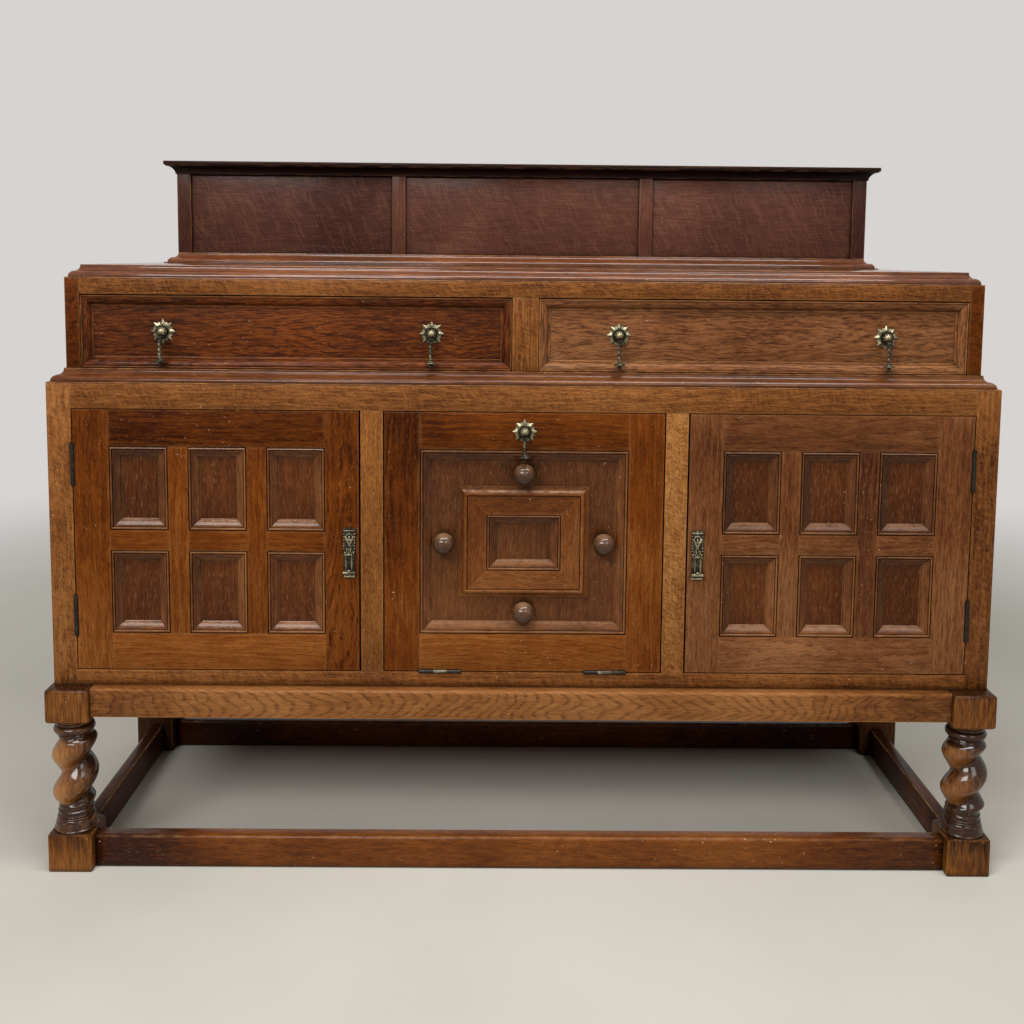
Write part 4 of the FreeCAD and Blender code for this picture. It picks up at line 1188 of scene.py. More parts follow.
PANEL_PROFILE = ((0.0, 9.0), (0.0, 2.6), (1.5, 2.6), (1.5, 0.2), (1.9, -0.6), (3.0, -1.0), (4.1, -0.6), (4.6, 0.3),
                 (4.6, 1.8), (5.7, 1.8), (5.7, 0.7), (8.4, 1.1), (8.4, 2.0), (10.4, 2.9), (13.0, 4.3), (15.0, 5.5),
                 (16.0, 6.4), (16.6, 8.2), (18.0, 9.0))
TABLET_PROFILE = ((0.0, 9.0), (0.0, 7.4), (2.6, 7.0), (2.6, 5.8), (4.6, 5.4), (6.6, 4.2), (8.0, 2.4), (8.8, 0.8),
                  (8.8, -0.6), (11.6, -1.6), (13.6, -1.2), (13.6, 1.8), (15.0, 1.8), (15.0, 0.0), (45.0, 0.0),
                  (45.0, 9.0))


@dataclass(frozen=True)
class MitredMoulding:
    """A moulding run round a rectangle in a front face, mitred at its corners.

    The profile is closed, in millimetres inward from the rectangle and back from the face.
    """

    profile: tuple[tuple[float, float], ...]
    width: float
    # Bottom, right, top and left strips in turn: painted light and shade, lighter on strips whose slopes face up or
    # left.
    side_light_tones: tuple[float, ...] = (0.6, 0.65, 0.35, 0.2)
    # Proud beads get a higher relief: partly wear, partly painted highlight.
    rubbed: float = 0.24
    rubbed_from: float = 0.0003
    rubbed_rise: float = 0.0011

    def section(self) -> list[tuple[float, float]]:
        """The profile in metres at this moulding's width."""
        scale = self.width / max(inward for inward, _ in self.profile)
        return [(inward * scale, back * 0.001) for inward, back in self.profile]

    def strip(self, length: float) -> bpy.types.Object:
        """One length, drawn, extruded along X from the origin and mitred at both ends.

        Args:
            length: its outer length.

        Returns:
            The strip, whose profile runs inward along Z.
        """
        points = [(0.0, back, inward) for inward, back in self.section()]
        count = len(points)
        piece = from_points("strip", points, [(i, (i + 1) % count) for i in range(count)])
        work_on(piece)
        bpy.ops.object.mode_set(mode="EDIT")
        bpy.ops.mesh.select_all(action="SELECT")
        bpy.ops.mesh.edge_face_add()
        bpy.ops.mesh.extrude_region_move(TRANSFORM_OT_translate={"value": (length, 0.0, 0.0)})
        for end, way in ((0.0, 1.0), (length, -1.0)):
            bpy.ops.mesh.select_all(action="SELECT")
            bpy.ops.mesh.bisect(plane_co=(end, 0.0, 0.0), plane_no=(way, 0.0, -1.0), use_fill=True, clear_inner=True)
        bpy.ops.mesh.select_all(action="SELECT")
        bpy.ops.mesh.normals_make_consistent(inside=False)
        bpy.ops.object.mode_set(mode="OBJECT")
        return piece

    def run(self, low: Vector, high: Vector, seed: str, grain: Grain) -> list[bpy.types.Object]:
        """The four strips round a rectangle.

        Args:
            low, high: the rectangle's corners, whose y is the face.
            seed: what makes these strips differ from the others.
            grain: how the strips lie in their logs.

        Returns:
            The strips.
        """
        wide, tall = high.x - low.x, high.z - low.z
        sides = ((0, wide, low.x, low.z), (-90, tall, high.x, low.z), (180, wide, high.x, high.z),
                 (90, tall, low.x, high.z))
        strips = []
        for side, (turn, length, x, z) in enumerate(sides):
            strip = from_pattern(f"strip {self.width:.4f} {length:.4f}", lambda: self.strip(length))
            # Proud beads get a higher relief, painted lighter as a highlight and worn.
            back = np.array([point.co.y for point in strip.data.vertices])
            relief = 0.5 + self.rubbed * np.clip((self.rubbed_from - back) / self.rubbed_rise, 0.0, 1.0)
            place = Matrix.Translation((x, low.y, z))
            strip.data.transform(place @ Matrix.Rotation(math.radians(turn), 4, "Y"))
            replace(grain, tones=((0, self.side_light_tones[side]),)).mark_single(strip, f"{seed} {side}", relief)
            strips.append(strip)
        return strips


# Stand


@dataclass
class TwistedLeg:
    """A front leg: foot block, bell and rings, one-start twist, neck ring and top block."""

    node: str
    bulge: float
    block_half: float = 0.035
    foot_top: float = 0.063
    twist_foot: float = 0.102
    twist_head: float = 0.222
    top_foot: float = 0.247
    top: float = 0.303
    pitch: float = 0.062
    crest: float = 0.0358
    valley: float = 0.0212
    core: float = 0.0268
    run_out: float = 0.010
    roundness: float = 1.35
    shoulder: float = 0.0256
    foot_ease: float = 0.0028
    head_ease: float = 0.0055
    let_in: float = 0.001
    bell_rim: float = 0.0012
    base_bead: Triple = (0.0026, 0.0016, 0.0022)
    skirt: Triple = (0.0033, 0.0042, 0.0295)
    beads: tuple[Triple, ...] = ((0.0281, 0.0206, 0.0016), (0.0272, 0.0240, 0.0013), (0.0265, 0.0308, 0.0020))
    waist: tuple[float, float] = (0.0008, 0.0340)
    quirk: tuple[float, float] = (0.001, 0.002)
    neck_bead: Triple = (0.0095, 0.0088, 0.0068)
    fillets: tuple[tuple[float, float], ...] = ((0.0, 0.0165), (0.002, 0.0175))
    cove: Triple = (0.004, 0.0155, 0.0105)
    cove_rim: float = 0.0015
    rings: int = 100
    facets: int = 64
    collar_facets: int = 56
    shoulder_facets: int = 96
    # Direction of the side that is worn and also painted lighter as painted light.
    worn_and_lit_side: Triple = (-0.74, -0.3, -0.6)
    tone: float = 0.5
    foot_tone: float = 0.7
    head_tone: float = 0.45
    collar_relief: float = 0.22
    wear_and_light_share: float = 1.05

    def axis(self) -> Vector:
        """The foot of the leg's axis."""
        low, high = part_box(self.node)
        return Vector(((low.x + high.x) / 2, (low.y + high.y) / 2, 0.0))

    def turn_corners(self, piece: bpy.types.Object, level: float, up: float) -> None:
        """Round the corners of a block where its turned part begins, as the lathe does.

        Args:
            piece: the block.
            level: where the turned part begins.
            up: 1 where the turned part is above the block, -1 where it is below.
        """
        clear, reach = 0.0003, 0.1
        rim = [(radius, level + up * (clear + rise - self.shoulder))
               for radius, rise in arc((self.block_half, 0.0), self.shoulder, 90, 30, 12)]
        profile = [(0.0, rim[0][1]), *rim, (rim[-1][0], level - up * reach), (0.0, level - up * reach)]
        cutter = turning("shoulder", profile, self.axis(), (0, 0, 1), self.shoulder_facets)
        work_on(piece)
        cut = piece.modifiers.new("shoulder", "BOOLEAN")
        cut.operation = "INTERSECT"
        cut.object = cutter
        bpy.ops.object.modifier_apply(modifier="shoulder")
        bpy.data.objects.remove(cutter)

    def square(self, name: str, foot: float, head: float, eased: float) -> bpy.types.Object:
        """A square block on the axis with eased edges and turned corners.

        Args:
            name: its name.
            foot, head: its lower and upper level.
            eased: how far its arrises are rounded.

        Returns:
            The block.
        """
        middle, half = self.axis(), self.block_half
        piece = block(name, middle + Vector((-half, -half, foot)), middle + Vector((half, half, head)))
        ease_edges(piece, eased, 3)
        if name == "foot":
            self.turn_corners(piece, head, 1.0)
        else:
            self.turn_corners(piece, foot, -1.0)
        tones = ((0, self.foot_tone if name == "foot" else self.head_tone),)
        # Upward faces get a low relief, so they come out darker.
        up = np.array([max(0.0, point.normal.z) for point in piece.data.vertices])
        Grain(Cut.RIFT, upright=True, tones=tones).mark_single(piece, f"{self.node} {name}", 0.5 - 0.5 * up)
        return piece

    def twist(self) -> bpy.types.Object:
        """Wring a cylinder that has a round crest and a sharp valley up it, and run the twist out at both ends.

        Returns:
            The twist on the leg's axis.
        """
        foot, length = self.twist_foot, self.twist_head - self.twist_foot
        bpy.ops.object.select_all(action="DESELECT")
        bpy.ops.mesh.primitive_cylinder_add(vertices=self.facets, radius=self.core, depth=length,
                                            location=(0.0, 0.0, foot + length / 2))
        piece = named("twist")
        cut_upright(piece, self.rings - 1)
        start = math.pi - FULL_TURN * self.bulge / self.pitch
        shape = []
        for point in piece.data.vertices:
            end = min(point.co.z - foot, foot + length - point.co.z)
            full = min(1.0, max(0.0, end / self.run_out))
            full = full * full * (3 - 2 * full)
            angle = math.atan2(point.co.y, point.co.x)
            phase = angle - start
            lift = abs(math.cos(phase / 2)) ** self.roundness
            radius = self.core + full * (self.valley + (self.crest - self.valley) * lift - self.core)
            point.co.xy = (radius * math.cos(angle), radius * math.sin(angle))
            shape.append((full, lift))
        wrung(piece, FULL_TURN * length / self.pitch)
        # The lower left front of each bulge gets a high relief, so it comes out lighter and golden: partly wear,
        # partly painted light; the crests a little lighter too.
        relief = []
        for point, (full, lift) in zip(piece.data.vertices, shape):
            facing_lit_side = 0.5 + 0.5 * point.normal.dot(Vector(self.worn_and_lit_side))
            relief.append(0.1 + full * (self.wear_and_light_share * facing_lit_side * facing_lit_side + 0.15 * lift - 0.1))
        piece.data.transform(Matrix.Translation(self.axis()))
        Grain(Cut.CROWN, tones=((0, self.tone),)).mark_single(piece, f"{self.node} twist", np.array(relief))
        write_points(piece, "polish", [1.0] * len(relief))
        return piece

    def collar(self, name: str, profile: list[tuple[float, float]]) -> bpy.types.Object:
        """A turned collar on the leg's axis, darker than the blocks and painted darker still in its hollows as painted
        shade.

        Args:
            name: its name.
            profile: its (radius, height) points.

        Returns:
            The collar.
        """
        middle = self.axis()
        piece = turning(name, profile, middle, (0, 0, 1), self.collar_facets)
        # Relief grows with the radius, so the hollows are painted darker as painted shade.
        radii = np.array([(v.co.xy - middle.xy).length for v in piece.data.vertices])
        grain = Grain(Cut.CROWN, tones=((0, self.tone),))
        grain.mark_single(piece, f"{self.node} {name}", self.collar_relief * radii / radii.max())
        write_points(piece, "polish", [1.0] * len(radii))
        return piece

    def bell(self) -> list[tuple[float, float]]:
        """Draw the bell over the foot block: a base bead, a full skirt and three beads.

        Returns:
            Its (radius, height) points.
        """
        half, foot, core = self.block_half, self.foot_top, self.core
        sunk = foot - self.let_in
        profile = [(0.0, sunk), (half - self.bell_rim, sunk)]
        inset, rise, bead = self.base_bead
        profile += arc((half - inset, foot + rise), bead, -60, 70, 6)
        out, rise, sweep = self.skirt
        profile += arc((out, foot + rise), sweep, 0, 29, 8)
        for out, rise, bead in self.beads:
            profile += arc((out, foot + rise), bead, -75, 75, 6)
        inset, rise = self.waist
        return profile + [(core - inset, foot + rise), (core, self.twist_foot), (0.0, self.twist_foot)]

    def neck(self) -> list[tuple[float, float]]:
        """Draw the neck under the top block: a quirk, a bead, two fillets and a cove.

        Returns:
            Its (radius, height) points.
        """
        half, head, core = self.block_half, self.twist_head, self.core
        sunk = self.top_foot + self.let_in
        inset, rise = self.quirk
        profile = [(0.0, head), (core, head), (core - inset, head + rise)]
        inset, rise, bead = self.neck_bead
        profile += arc((half - inset, head + rise), bead, -75, 80, 10)
        profile += [(core + out, head + rise) for out, rise in self.fillets]
        out, rise, sweep = self.cove
        profile += arc((half + out, head + rise), sweep, 162, 122, 6)
        return profile + [(half - self.cove_rim, sunk), (0.0, sunk)]

    def build(self) -> bpy.types.Object:
        """Turn the leg, join it and set it on the carcase.

        Returns:
            The leg.
        """
        parts = [
            self.square("foot", 0.0, self.foot_top, self.foot_ease),
            self.collar("bell", self.bell()),
            self.twist(),
            self.collar("neck", self.neck()),
            self.square("head", self.top_foot, self.top, self.head_ease),
        ]
        leg = joined(f"{self.node}_turned", parts)
        smooth(leg, TURNED_SMOOTH)
        return handed_over(leg, CARCASE, [self.node], LEG_OAK)


@dataclass
class Stand:
    """The stand: two twisted front legs, plain rear legs, aprons and a stretcher frame."""

    left_bulge: float = 0.1215
    right_bulge: float = 0.137
    leg_ease: float = 0.0025
    rail_ease: float = 0.0015

    def build(self) -> None:
        """Make every piece of the stand."""
        TwistedLeg("front_left_leg", self.left_bulge, tone=0.6).build()
        TwistedLeg("front_right_leg", self.right_bulge, tone=0.1, foot_tone=0.45, wear_and_light_share=0.68).build()
        Boards("rear_legs", REAR_LEG_OAK, Grain(Cut.RIFT), self.leg_ease).build()
        Boards("aprons", APRON_OAK, Grain(Cut.CROWN, 0.03, 0.05), self.rail_ease).build()
        # The rear and side stretchers (boards 1, 2 and 3) are toned dark as painted shade under the case.
        stretchers = Grain(Cut.RIFT, tones=((0, 0.6), (1, 0.1), (2, -0.2), (3, -0.2)))
        Boards("stretchers", STRETCHER_OAK, stretchers, self.rail_ease).build()


# Cases


@dataclass
class LowerCase:
    """The cupboard case: posts, rails, mullions, sides, partitions and what lies inside."""

    frame_ease: float = 0.001
    inside_ease: float = FINE_EASE

    def build(self) -> None:
        """Make every board of the cupboard case."""
        grain = Grain(Cut.QUARTER, bold=(), faint=0.5)
        for node, tones in (("case_posts", ((0, 0.25), (1, 0.7))), ("case_side_rails", ()),
                            ("cupboard_rails", ((0, 0.5), (1, 0.6)))):
            Boards(node, POST_OAK, replace(grain, tones=tones), self.frame_ease).build()
        mullions = Grain(Cut.QUARTER, tones=((0, 0.8), (1, 0.3)), bold=(0,))
        Boards("cupboard_mullions", MULLION_OAK, mullions, self.frame_ease).build()
        Boards("case_side_panels", PANEL_OAK, Grain(Cut.CROWN), self.frame_ease).build()
        for node in ("cupboard_partitions", "cupboard_floor", "cupboard_shelves", "shelf_cleats", "door_stops",
                     "case_backs", "dust_board"):
            Boards(node, INSIDE_OAK, Grain(Cut.CROWN), self.inside_ease).build()


@dataclass
class UpperCase:
    """The waist moulding, the drawer case, its top board and the gallery."""

    frame_ease: float = 0.001
    moulding_ease: float = 0.0007

    def build(self) -> None:
        """Make every board above the cupboard case."""
        Boards("waist_moulding", WAIST_OAK, Grain(Cut.RIFT), self.moulding_ease).build()
        grain = Grain(Cut.QUARTER, upright=True, tones=((0, 0.4), (1, 0.4)), bold=(), faint=0.5)
        for node, finish in (("drawer_case_sides", FRAME_OAK), ("drawer_case_rail", POST_OAK),
                             ("drawer_muntin", POST_OAK)):
            Boards(node, finish, grain, self.frame_ease).build()
        Boards("drawer_runners", INSIDE_OAK, Grain(Cut.RIFT), FINE_EASE).build()
        Boards("top_board", TOP_OAK, Grain(Cut.CROWN), self.moulding_ease).build()
        Boards("gallery_base_moulding", TOP_OAK, Grain(Cut.RIFT), self.moulding_ease).build()
        Boards("gallery_cornice", CORNICE_OAK, Grain(Cut.RIFT), self.moulding_ease).build()
        uprights = Grain(Cut.RIFT, tones=((0, -0.2), (1, -0.2)), bold=(), faint=0.0)
        Boards("gallery_uprights", GALLERY_OAK, uprights, self.frame_ease).build()
        panels = Grain(Cut.QUARTER, tones=((0, 0.5), (1, 0.0), (2, 0.3)))
        Boards("gallery_panels", GALLERY_OAK, panels, self.frame_ease).build()


# Hardware


def pivot_of(joint: str) -> Vector:
    """The place of a joint's axis."""
    return next(Vector(j["pos_m"]) for j in frame["joints"] if j["name"] == joint)


@dataclass
class StarRosette:
    """A cast eight-point star with a beaded ring, a domed boss and two lugs for its drop."""

    points: int = 8
    tip: float = 0.0200
    small_tip: float = 0.0164
    notch: float = 0.0146
    notch_turn: float = 1 / 3
    rim: float = 0.0011
    boss: float = 0.0088
    boss_foot: float = 0.003
    boss_height: float = 0.0150
    flute: float = 0.16
    bead: float = 0.0012
    bead_level: float = 0.0026
    groove: float = 0.0026
    groove_edge: float = 0.0004
    groove_level: float = 0.0020
    rays: tuple[float, float] = (0.0030, 0.0014)
    boss_rub: float = 0.85
    ray_rub: tuple[float, float] = (0.1, 0.8)
    rub_rise: float = 0.005
    pivot_reach: float = 0.020
    pivot_drop: float = 0.009
    lug_gap: float = 0.0019
    lug_thick: float = 0.0018
    lug_half: float = 0.003
    pin: float = 0.001
    facets_per_point: int = 12

    def outline(self, turn: float) -> float:
        """The star's radius in one direction.

        Args:
            turn: the direction, from a tip.

        Returns:
            The distance from the middle to the star's straight edge.
        """
        step = FULL_TURN / self.points
        away = abs((turn + step / 2) % step - step / 2)
        cut = step * self.notch_turn
        notch = Vector((math.cos(cut), math.sin(cut))) * self.notch
        if away <= cut:
            first, last = Vector((self.tip, 0.0)), notch
        else:
            first, last = notch, Vector((math.cos(step / 2), math.sin(step / 2))) * self.small_tip
        run = last - first
        way = Vector((math.cos(away), math.sin(away)))
        return (first.x * run.y - first.y * run.x) / (way.x * run.y - way.y * run.x)

    def rings(self) -> list[list[tuple[float, float]]]:
        """The relief from the rim to the top of the boss.

        Returns:
            One list for each ring: the (radius, height) of every facet's corner.
        """
        turns = [FULL_TURN * facet / self.facets() for facet in range(self.facets())]
        groove, bead = self.boss + self.groove, self.boss + self.bead
        level, swell = self.rays
        rim = [self.outline(turn) for turn in turns]
        rings = [[(radius, 0.0) for radius in rim], [(radius, self.rim) for radius in rim]]
        rings.append([(groove + self.groove_edge, level + swell * math.cos(self.points * turn)) for turn in turns])
        profile = [(groove, self.groove_level)] + arc((bead, self.bead_level), self.bead, 0, 180, 8)
        rings += [[place] * self.facets() for place in profile]
        for step in range(1, 10):
            angle = math.radians(10 * step)
            height = self.boss_foot + (self.boss_height - self.boss_foot) * math.sin(angle)
            fluted = [1 - self.flute + self.flute * abs(math.cos(self.points * turn / 2)) for turn in turns]
            rings.append([(self.boss * math.cos(angle) * share, height) for share in fluted])
        return rings

    def facets(self) -> int:
        """How many facets the star has round."""
        return self.points * self.facets_per_point

    def star(self) -> bpy.types.Object:
        """Draw a disc out to the star's points and extrude it ring by ring.

        Returns:
            The star, facing forward from the origin.
        """
        count = self.facets()
        bpy.ops.object.select_all(action="DESELECT")
        bpy.ops.mesh.primitive_circle_add(vertices=count, radius=self.tip, fill_type="NGON",
                                          rotation=(math.pi / 2, 0.0, 0.0))
        piece = named("star")
        work_on(piece)
        bpy.ops.object.mode_set(mode="EDIT")
        bpy.ops.mesh.select_mode(type="FACE")
        bpy.ops.mesh.select_all(action="SELECT")
        for level, ring in enumerate(self.rings()):
            if level:
                bpy.ops.mesh.extrude_region_move()
            net = bmesh.from_edit_mesh(piece.data)
            front = next(face for face in net.faces if face.select)
            for corner in front.verts:
                turn = math.atan2(corner.co.x, corner.co.z)
                radius, height = ring[round(turn / FULL_TURN * count) % count]
                corner.co = (radius * math.sin(turn), -height, radius * math.cos(turn))
            bmesh.update_edit_mesh(piece.data)
        bpy.ops.mesh.select_all(action="SELECT")
        bpy.ops.mesh.remove_doubles(threshold=1e-5)
        bpy.ops.mesh.normals_make_consistent(inside=False)
        bpy.ops.object.mode_set(mode="OBJECT")
        dull, bright = self.ray_rub
        proud = []
        for point in piece.data.vertices:
            out = point.co.xz.length
            ray = min(bright, max(dull, (out - self.boss) / self.rub_rise))
            proud.append(self.boss_rub if out < self.boss * 0.8 else ray)
        write_points(piece, "proud", proud)
        return piece

    def lugs(self) -> list[bpy.types.Object]:
        """Make what the drop hangs from, for a star at the origin.

        Returns:
            The two lugs and the pin between them.
        """
        parts = []
        outer = self.lug_gap + self.lug_thick
        for side in (-1, 1):
            near, far = sorted((side * self.lug_gap, side * outer))
            low = (near, -self.pivot_reach - self.lug_half, -self.pivot_drop - self.lug_half)
            high = (far, -self.rim, -self.pivot_drop + self.lug_half)
            lug = block("lug", low, high)
            ease_edges(lug, FINE_EASE, 2)
            parts.append(lug)
        parts.append(rod("pin", (0, -self.pivot_reach, -self.pivot_drop), self.pin, 2 * outer, "X"))
        return parts

    def at(self, pivot: Vector) -> bpy.types.Object:
        """Place a copy of the rosette.

        Args:
            pivot: where its drop hangs.

        Returns:
            The copy.
        """
        piece = from_pattern("rosette", lambda: joined("rosette", [self.star(), *self.lugs()]))
        piece.data.transform(Matrix.Translation(pivot + Vector((0, self.pivot_reach, self.pivot_drop))))
        return piece

    def build(self, name: str, body: str, node: str, joints: Sequence[str]) -> bpy.types.Object:
        """The rosettes of one node.

        Args:
            name: the piece's name.
            body: the body that they are screwed to.
            node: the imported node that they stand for.
            joints: the swing of each drop.

        Returns:
            The rosettes as one piece.
        """
        piece = joined(name, [self.at(pivot_of(joint)) for joint in joints])
        smooth(piece, CAST_SMOOTH)
        return handed_over(piece, body, [node], CAST_BRASS)


@dataclass
class TwistedDrop:
    """A rosette's drop: an eye, a twisted stem, a wide button and a finial."""

    hang: float
    eye: float = 0.0021
    wire: float = 0.001
    stem: tuple[float, float] = (0.0031, 0.0016)
    turns: float = -1.5
    button: float = 0.009

    def stem_bar(self, head: float, foot: float) -> bpy.types.Object:
        """A flat bar with rounded edges, twisted along its length.

        Args:
            head, foot: its distance below the pivot.

        Returns:
            The bar, hanging under the origin.
        """
        bpy.ops.object.select_all(action="DESELECT")
        bpy.ops.mesh.primitive_cylinder_add(vertices=20, radius=1.0, depth=1.0, location=(0, 0, -(head + foot) / 2),
                                            scale=(*self.stem, foot - head))
        bar = named("stem")
        cut_upright(bar, 30)
        wrung(bar, FULL_TURN * self.turns)
        return bar

    def model(self) -> bpy.types.Object:
        """Model the drop once.

        Returns:
            The drop, under a pivot at the origin.
        """
        foot, wide = self.hang, self.button
        profile = [(0.0, 0.0150 - foot), (0.0026, 0.0145 - foot), (0.0033, 0.0130 - foot), (0.0028, 0.0114 - foot)]
        profile += [(0.0040, 0.0100 - foot), (wide * 0.60, 0.0088 - foot), (wide * 0.94, 0.0082 - foot)]
        profile += [(wide, 0.0076 - foot), (wide * 0.97, 0.0068 - foot), (wide * 0.86, 0.0065 - foot)]
        profile += [(wide * 0.5, 0.0058 - foot), (0.0026, 0.0046 - foot)]
        profile += arc((0.0008, 0.0020 - foot), 0.0020, 55, -62, 6) + [(0.0, -foot)]
        parts = [
            ring("eye", (0, 0, 0), self.eye, self.wire, (0.0, math.pi / 2, 0.0)),
            ball("neck", (0, 0, -0.0048), (0.0026, 0.0026, 0.0028)),
            self.stem_bar(0.0060, foot - 0.0140),
            turning("button", profile, (0, 0, 0), (0, 0, 1), 36),
        ]
        drop = joined("drop", parts)
        write_points(drop, "proud", [0.15] * len(drop.data.vertices))
        return drop

    def build(self, name: str, body: str, node: str, joint: str) -> bpy.types.Object:
        """The drop of one node.

        Args:
            name: the piece's name.
            body: its own body.
            node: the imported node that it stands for.
            joint: the joint that it swings on.

        Returns:
            The drop.
        """
        drop = from_pattern(f"drop {self.hang}", self.model)
        drop.name = drop.data.name = name
        drop.data.transform(Matrix.Translation(pivot_of(joint)))
        smooth(drop, TURNED_SMOOTH)
        return handed_over(drop, body, [node], CAST_BRASS)


@dataclass
class PlatePull:
    """A door's pull: a long cast plate with a crest, an arch, crossing bands and beads, and a stirrup drop."""

    side: str
    half_width: float = 0.0098
    half_height: float = 0.042
    thick: float = 0.0026
    pivot_reach: float = 0.009
    pivot_rise: float = 0.006
    drop_length: float = 0.040
    bar: float = 0.0045

    def crest(self) -> list[bpy.types.Object]:
        """Make the crest over the plate.

        Returns:
            Its three tips and the rail that they stand on.
        """
        wide, tall, face = self.half_width, self.half_height, -self.thick
        parts = [rod("crest_rail", (0, face, tall * 0.84), 0.0013, 1.9 * wide, "X")]
        for x, lean, size in ((0.0, 0.0, 1.0), (-wide * 0.78, 1.15, 0.72), (wide * 0.78, -1.15, 0.72)):
            bpy.ops.object.select_all(action="DESELECT")
            bpy.ops.mesh.primitive_cone_add(vertices=8, radius1=0.0040 * size, radius2=0.0004, depth=0.009 * size,
                                            location=(x, face * 0.6, tall * 0.89), rotation=(0.0, -lean, 0.0))
            bpy.context.object.scale = (1.0, 0.6, 1.0)
            tip = named("tip")
            ease_edges(tip, 0.0003, 2)
            parts.append(tip)
        return parts

    def bands(self) -> list[bpy.types.Object]:
        """Lay two rods aslant under the arch.

        Returns:
            The two crossing bands.
        """
        parts = []
        for side in (-1, 1):
            band = rod("band", (0, 0, 0), 0.0017, self.half_height * 0.6, "Z")
            turn = Matrix.Rotation(side * math.radians(26), 4, "Y")
            middle = Vector((side * self.half_width * 0.14, -self.thick - 0.0003, self.half_height * 0.36))
            band.data.transform(Matrix.Translation(middle) @ turn)
            parts.append(band)
        return parts

    def plate_model(self) -> bpy.types.Object:
        """Model the plate's relief once, with the lugs and the pin of its drop.

        Returns:
            The plate, facing forward from the origin.
        """
        wide, tall, face = self.half_width, self.half_height, -self.thick
        slab = block("slab", (-wide * 0.86, face, -tall * 0.97), (wide * 0.86, 0.0, tall * 0.86))
        ease_edges(slab, 0.0008, 2)
        parts = [slab, *self.crest(), *self.bands()]
        parts.append(ring("arch", (0, face, tall * 0.60), 0.0052, 0.0016, (math.pi / 2, 0.0, 0.0)))
        parts.append(ball("pendant", (0, face - 0.0006, tall * 0.57), (0.0019, 0.0018, 0.0036)))
        for side in (-1, 1):
            for step in range(6):
                edge = (side * wide * 0.84, face * 0.7, tall * (0.14 + 0.115 * step))
                parts.append(ball("edge_bead", edge, (0.0016, 0.0022, 0.0020)))
        for step in range(4):
            bead = (wide * 0.44 * (step - 1.5), face - 0.0004, 0.0)
            parts.append(ball("bead", bead, (0.0022, 0.0026, 0.0022)))
        parts.append(rod("sill", (0, face, -tall * 0.10), 0.0012, 1.8 * wide, "X"))
        parts.append(rod("foot_rail", (0, face, -tall * 0.93), 0.0018, 1.8 * wide, "X"))
        lugs = StarRosette(pivot_reach=self.pivot_reach, pivot_drop=-self.pivot_rise, rim=self.thick * 0.5)
        plate = joined("plate", parts + lugs.lugs())
        proud = [min(1.0, max(0.0, (-point.co.y - self.thick) / 0.0022)) for point in plate.data.vertices]
        write_points(plate, "proud", proud)
        return plate

    def drop_model(self) -> bpy.types.Object:
        """Model the stirrup drop once: eye, yoke, two bars and a thick curled lip.

        Returns:
            The drop, under its pivot at the origin.
        """
        length, bar = self.drop_length, self.bar
        parts = [
            ring("eye", (0, 0, 0), 0.0021, 0.001, (0.0, math.pi / 2, 0.0)),
            ball("neck", (0, 0, -0.0050), (0.0018, 0.0016, 0.0030)),
            rod("yoke", (0, 0, -0.0080), 0.0017, 2 * bar + 0.0026, "X"),
            ball("boss", (0, -0.0006, -0.0082), (0.0030, 0.0020, 0.0024)),
            rod("lip", (0, -0.0004, -length + 0.0026), 0.0026, 0.0160, "X"),
            ball("lip_boss", (0, -0.0010, -length + 0.0056), (0.0032, 0.0022, 0.0026)),
        ]
        for side in (-1, 1):
            parts.append(rod("bar", (side * bar, 0, -length / 2 - 0.0026), 0.0014, length - 0.0120, "Z"))
            parts.append(ball("scroll", (side * 0.0080, -0.0008, -length + 0.0026), (0.0022, 0.0029, 0.0029)))
        stirrup = joined("stirrup", parts)
        write_points(stirrup, "proud", [0.5] * len(stirrup.data.vertices))
        return stirrup

    def build(self) -> None:
        """Make the plate and its drop and set each on its own body."""
        door = f"{self.side}_door"
        pivot = pivot_of(f"{door}_drop_swing")
        at_plate = pivot + Vector((0, self.pivot_reach, -self.pivot_rise))
        for name, model, place, body in (("plate", self.plate_model, at_plate, door),
                                         ("drop", self.drop_model, pivot, f"{door}_drop")):
            piece = from_pattern(f"pull {name}", model)
            piece.name = piece.data.name = f"{door}_pull_{name}_cast"
            piece.data.transform(Matrix.Translation(place))
            smooth(piece, TURNED_SMOOTH)
            handed_over(piece, body, [f"{door}_pull_{name}"], CAST_BRASS)


@dataclass
class Ironmongery:
    """Hinges, their pins and the bullet catches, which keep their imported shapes."""

    nodes: tuple[str, ...] = ("case_hinge_leaves", "left_door_hinge_leaves", "right_door_hinge_leaves",
                              "flap_hinge_leaves", "hinge_pins", "bullet_catches")

    def build(self) -> None:
        """Give each of them a plain brass finish."""
        for name in self.nodes:
            finish = RUBBED_BRASS if name == "flap_hinge_leaves" else PLAIN_BRASS
            node = frame["nodes"][name]
            node.data.materials.clear()
            node.data.materials.append(material_of(finish))
            log.info("%s keeps its shape, %s", name, finish.name)


# Doors, flap and drawers


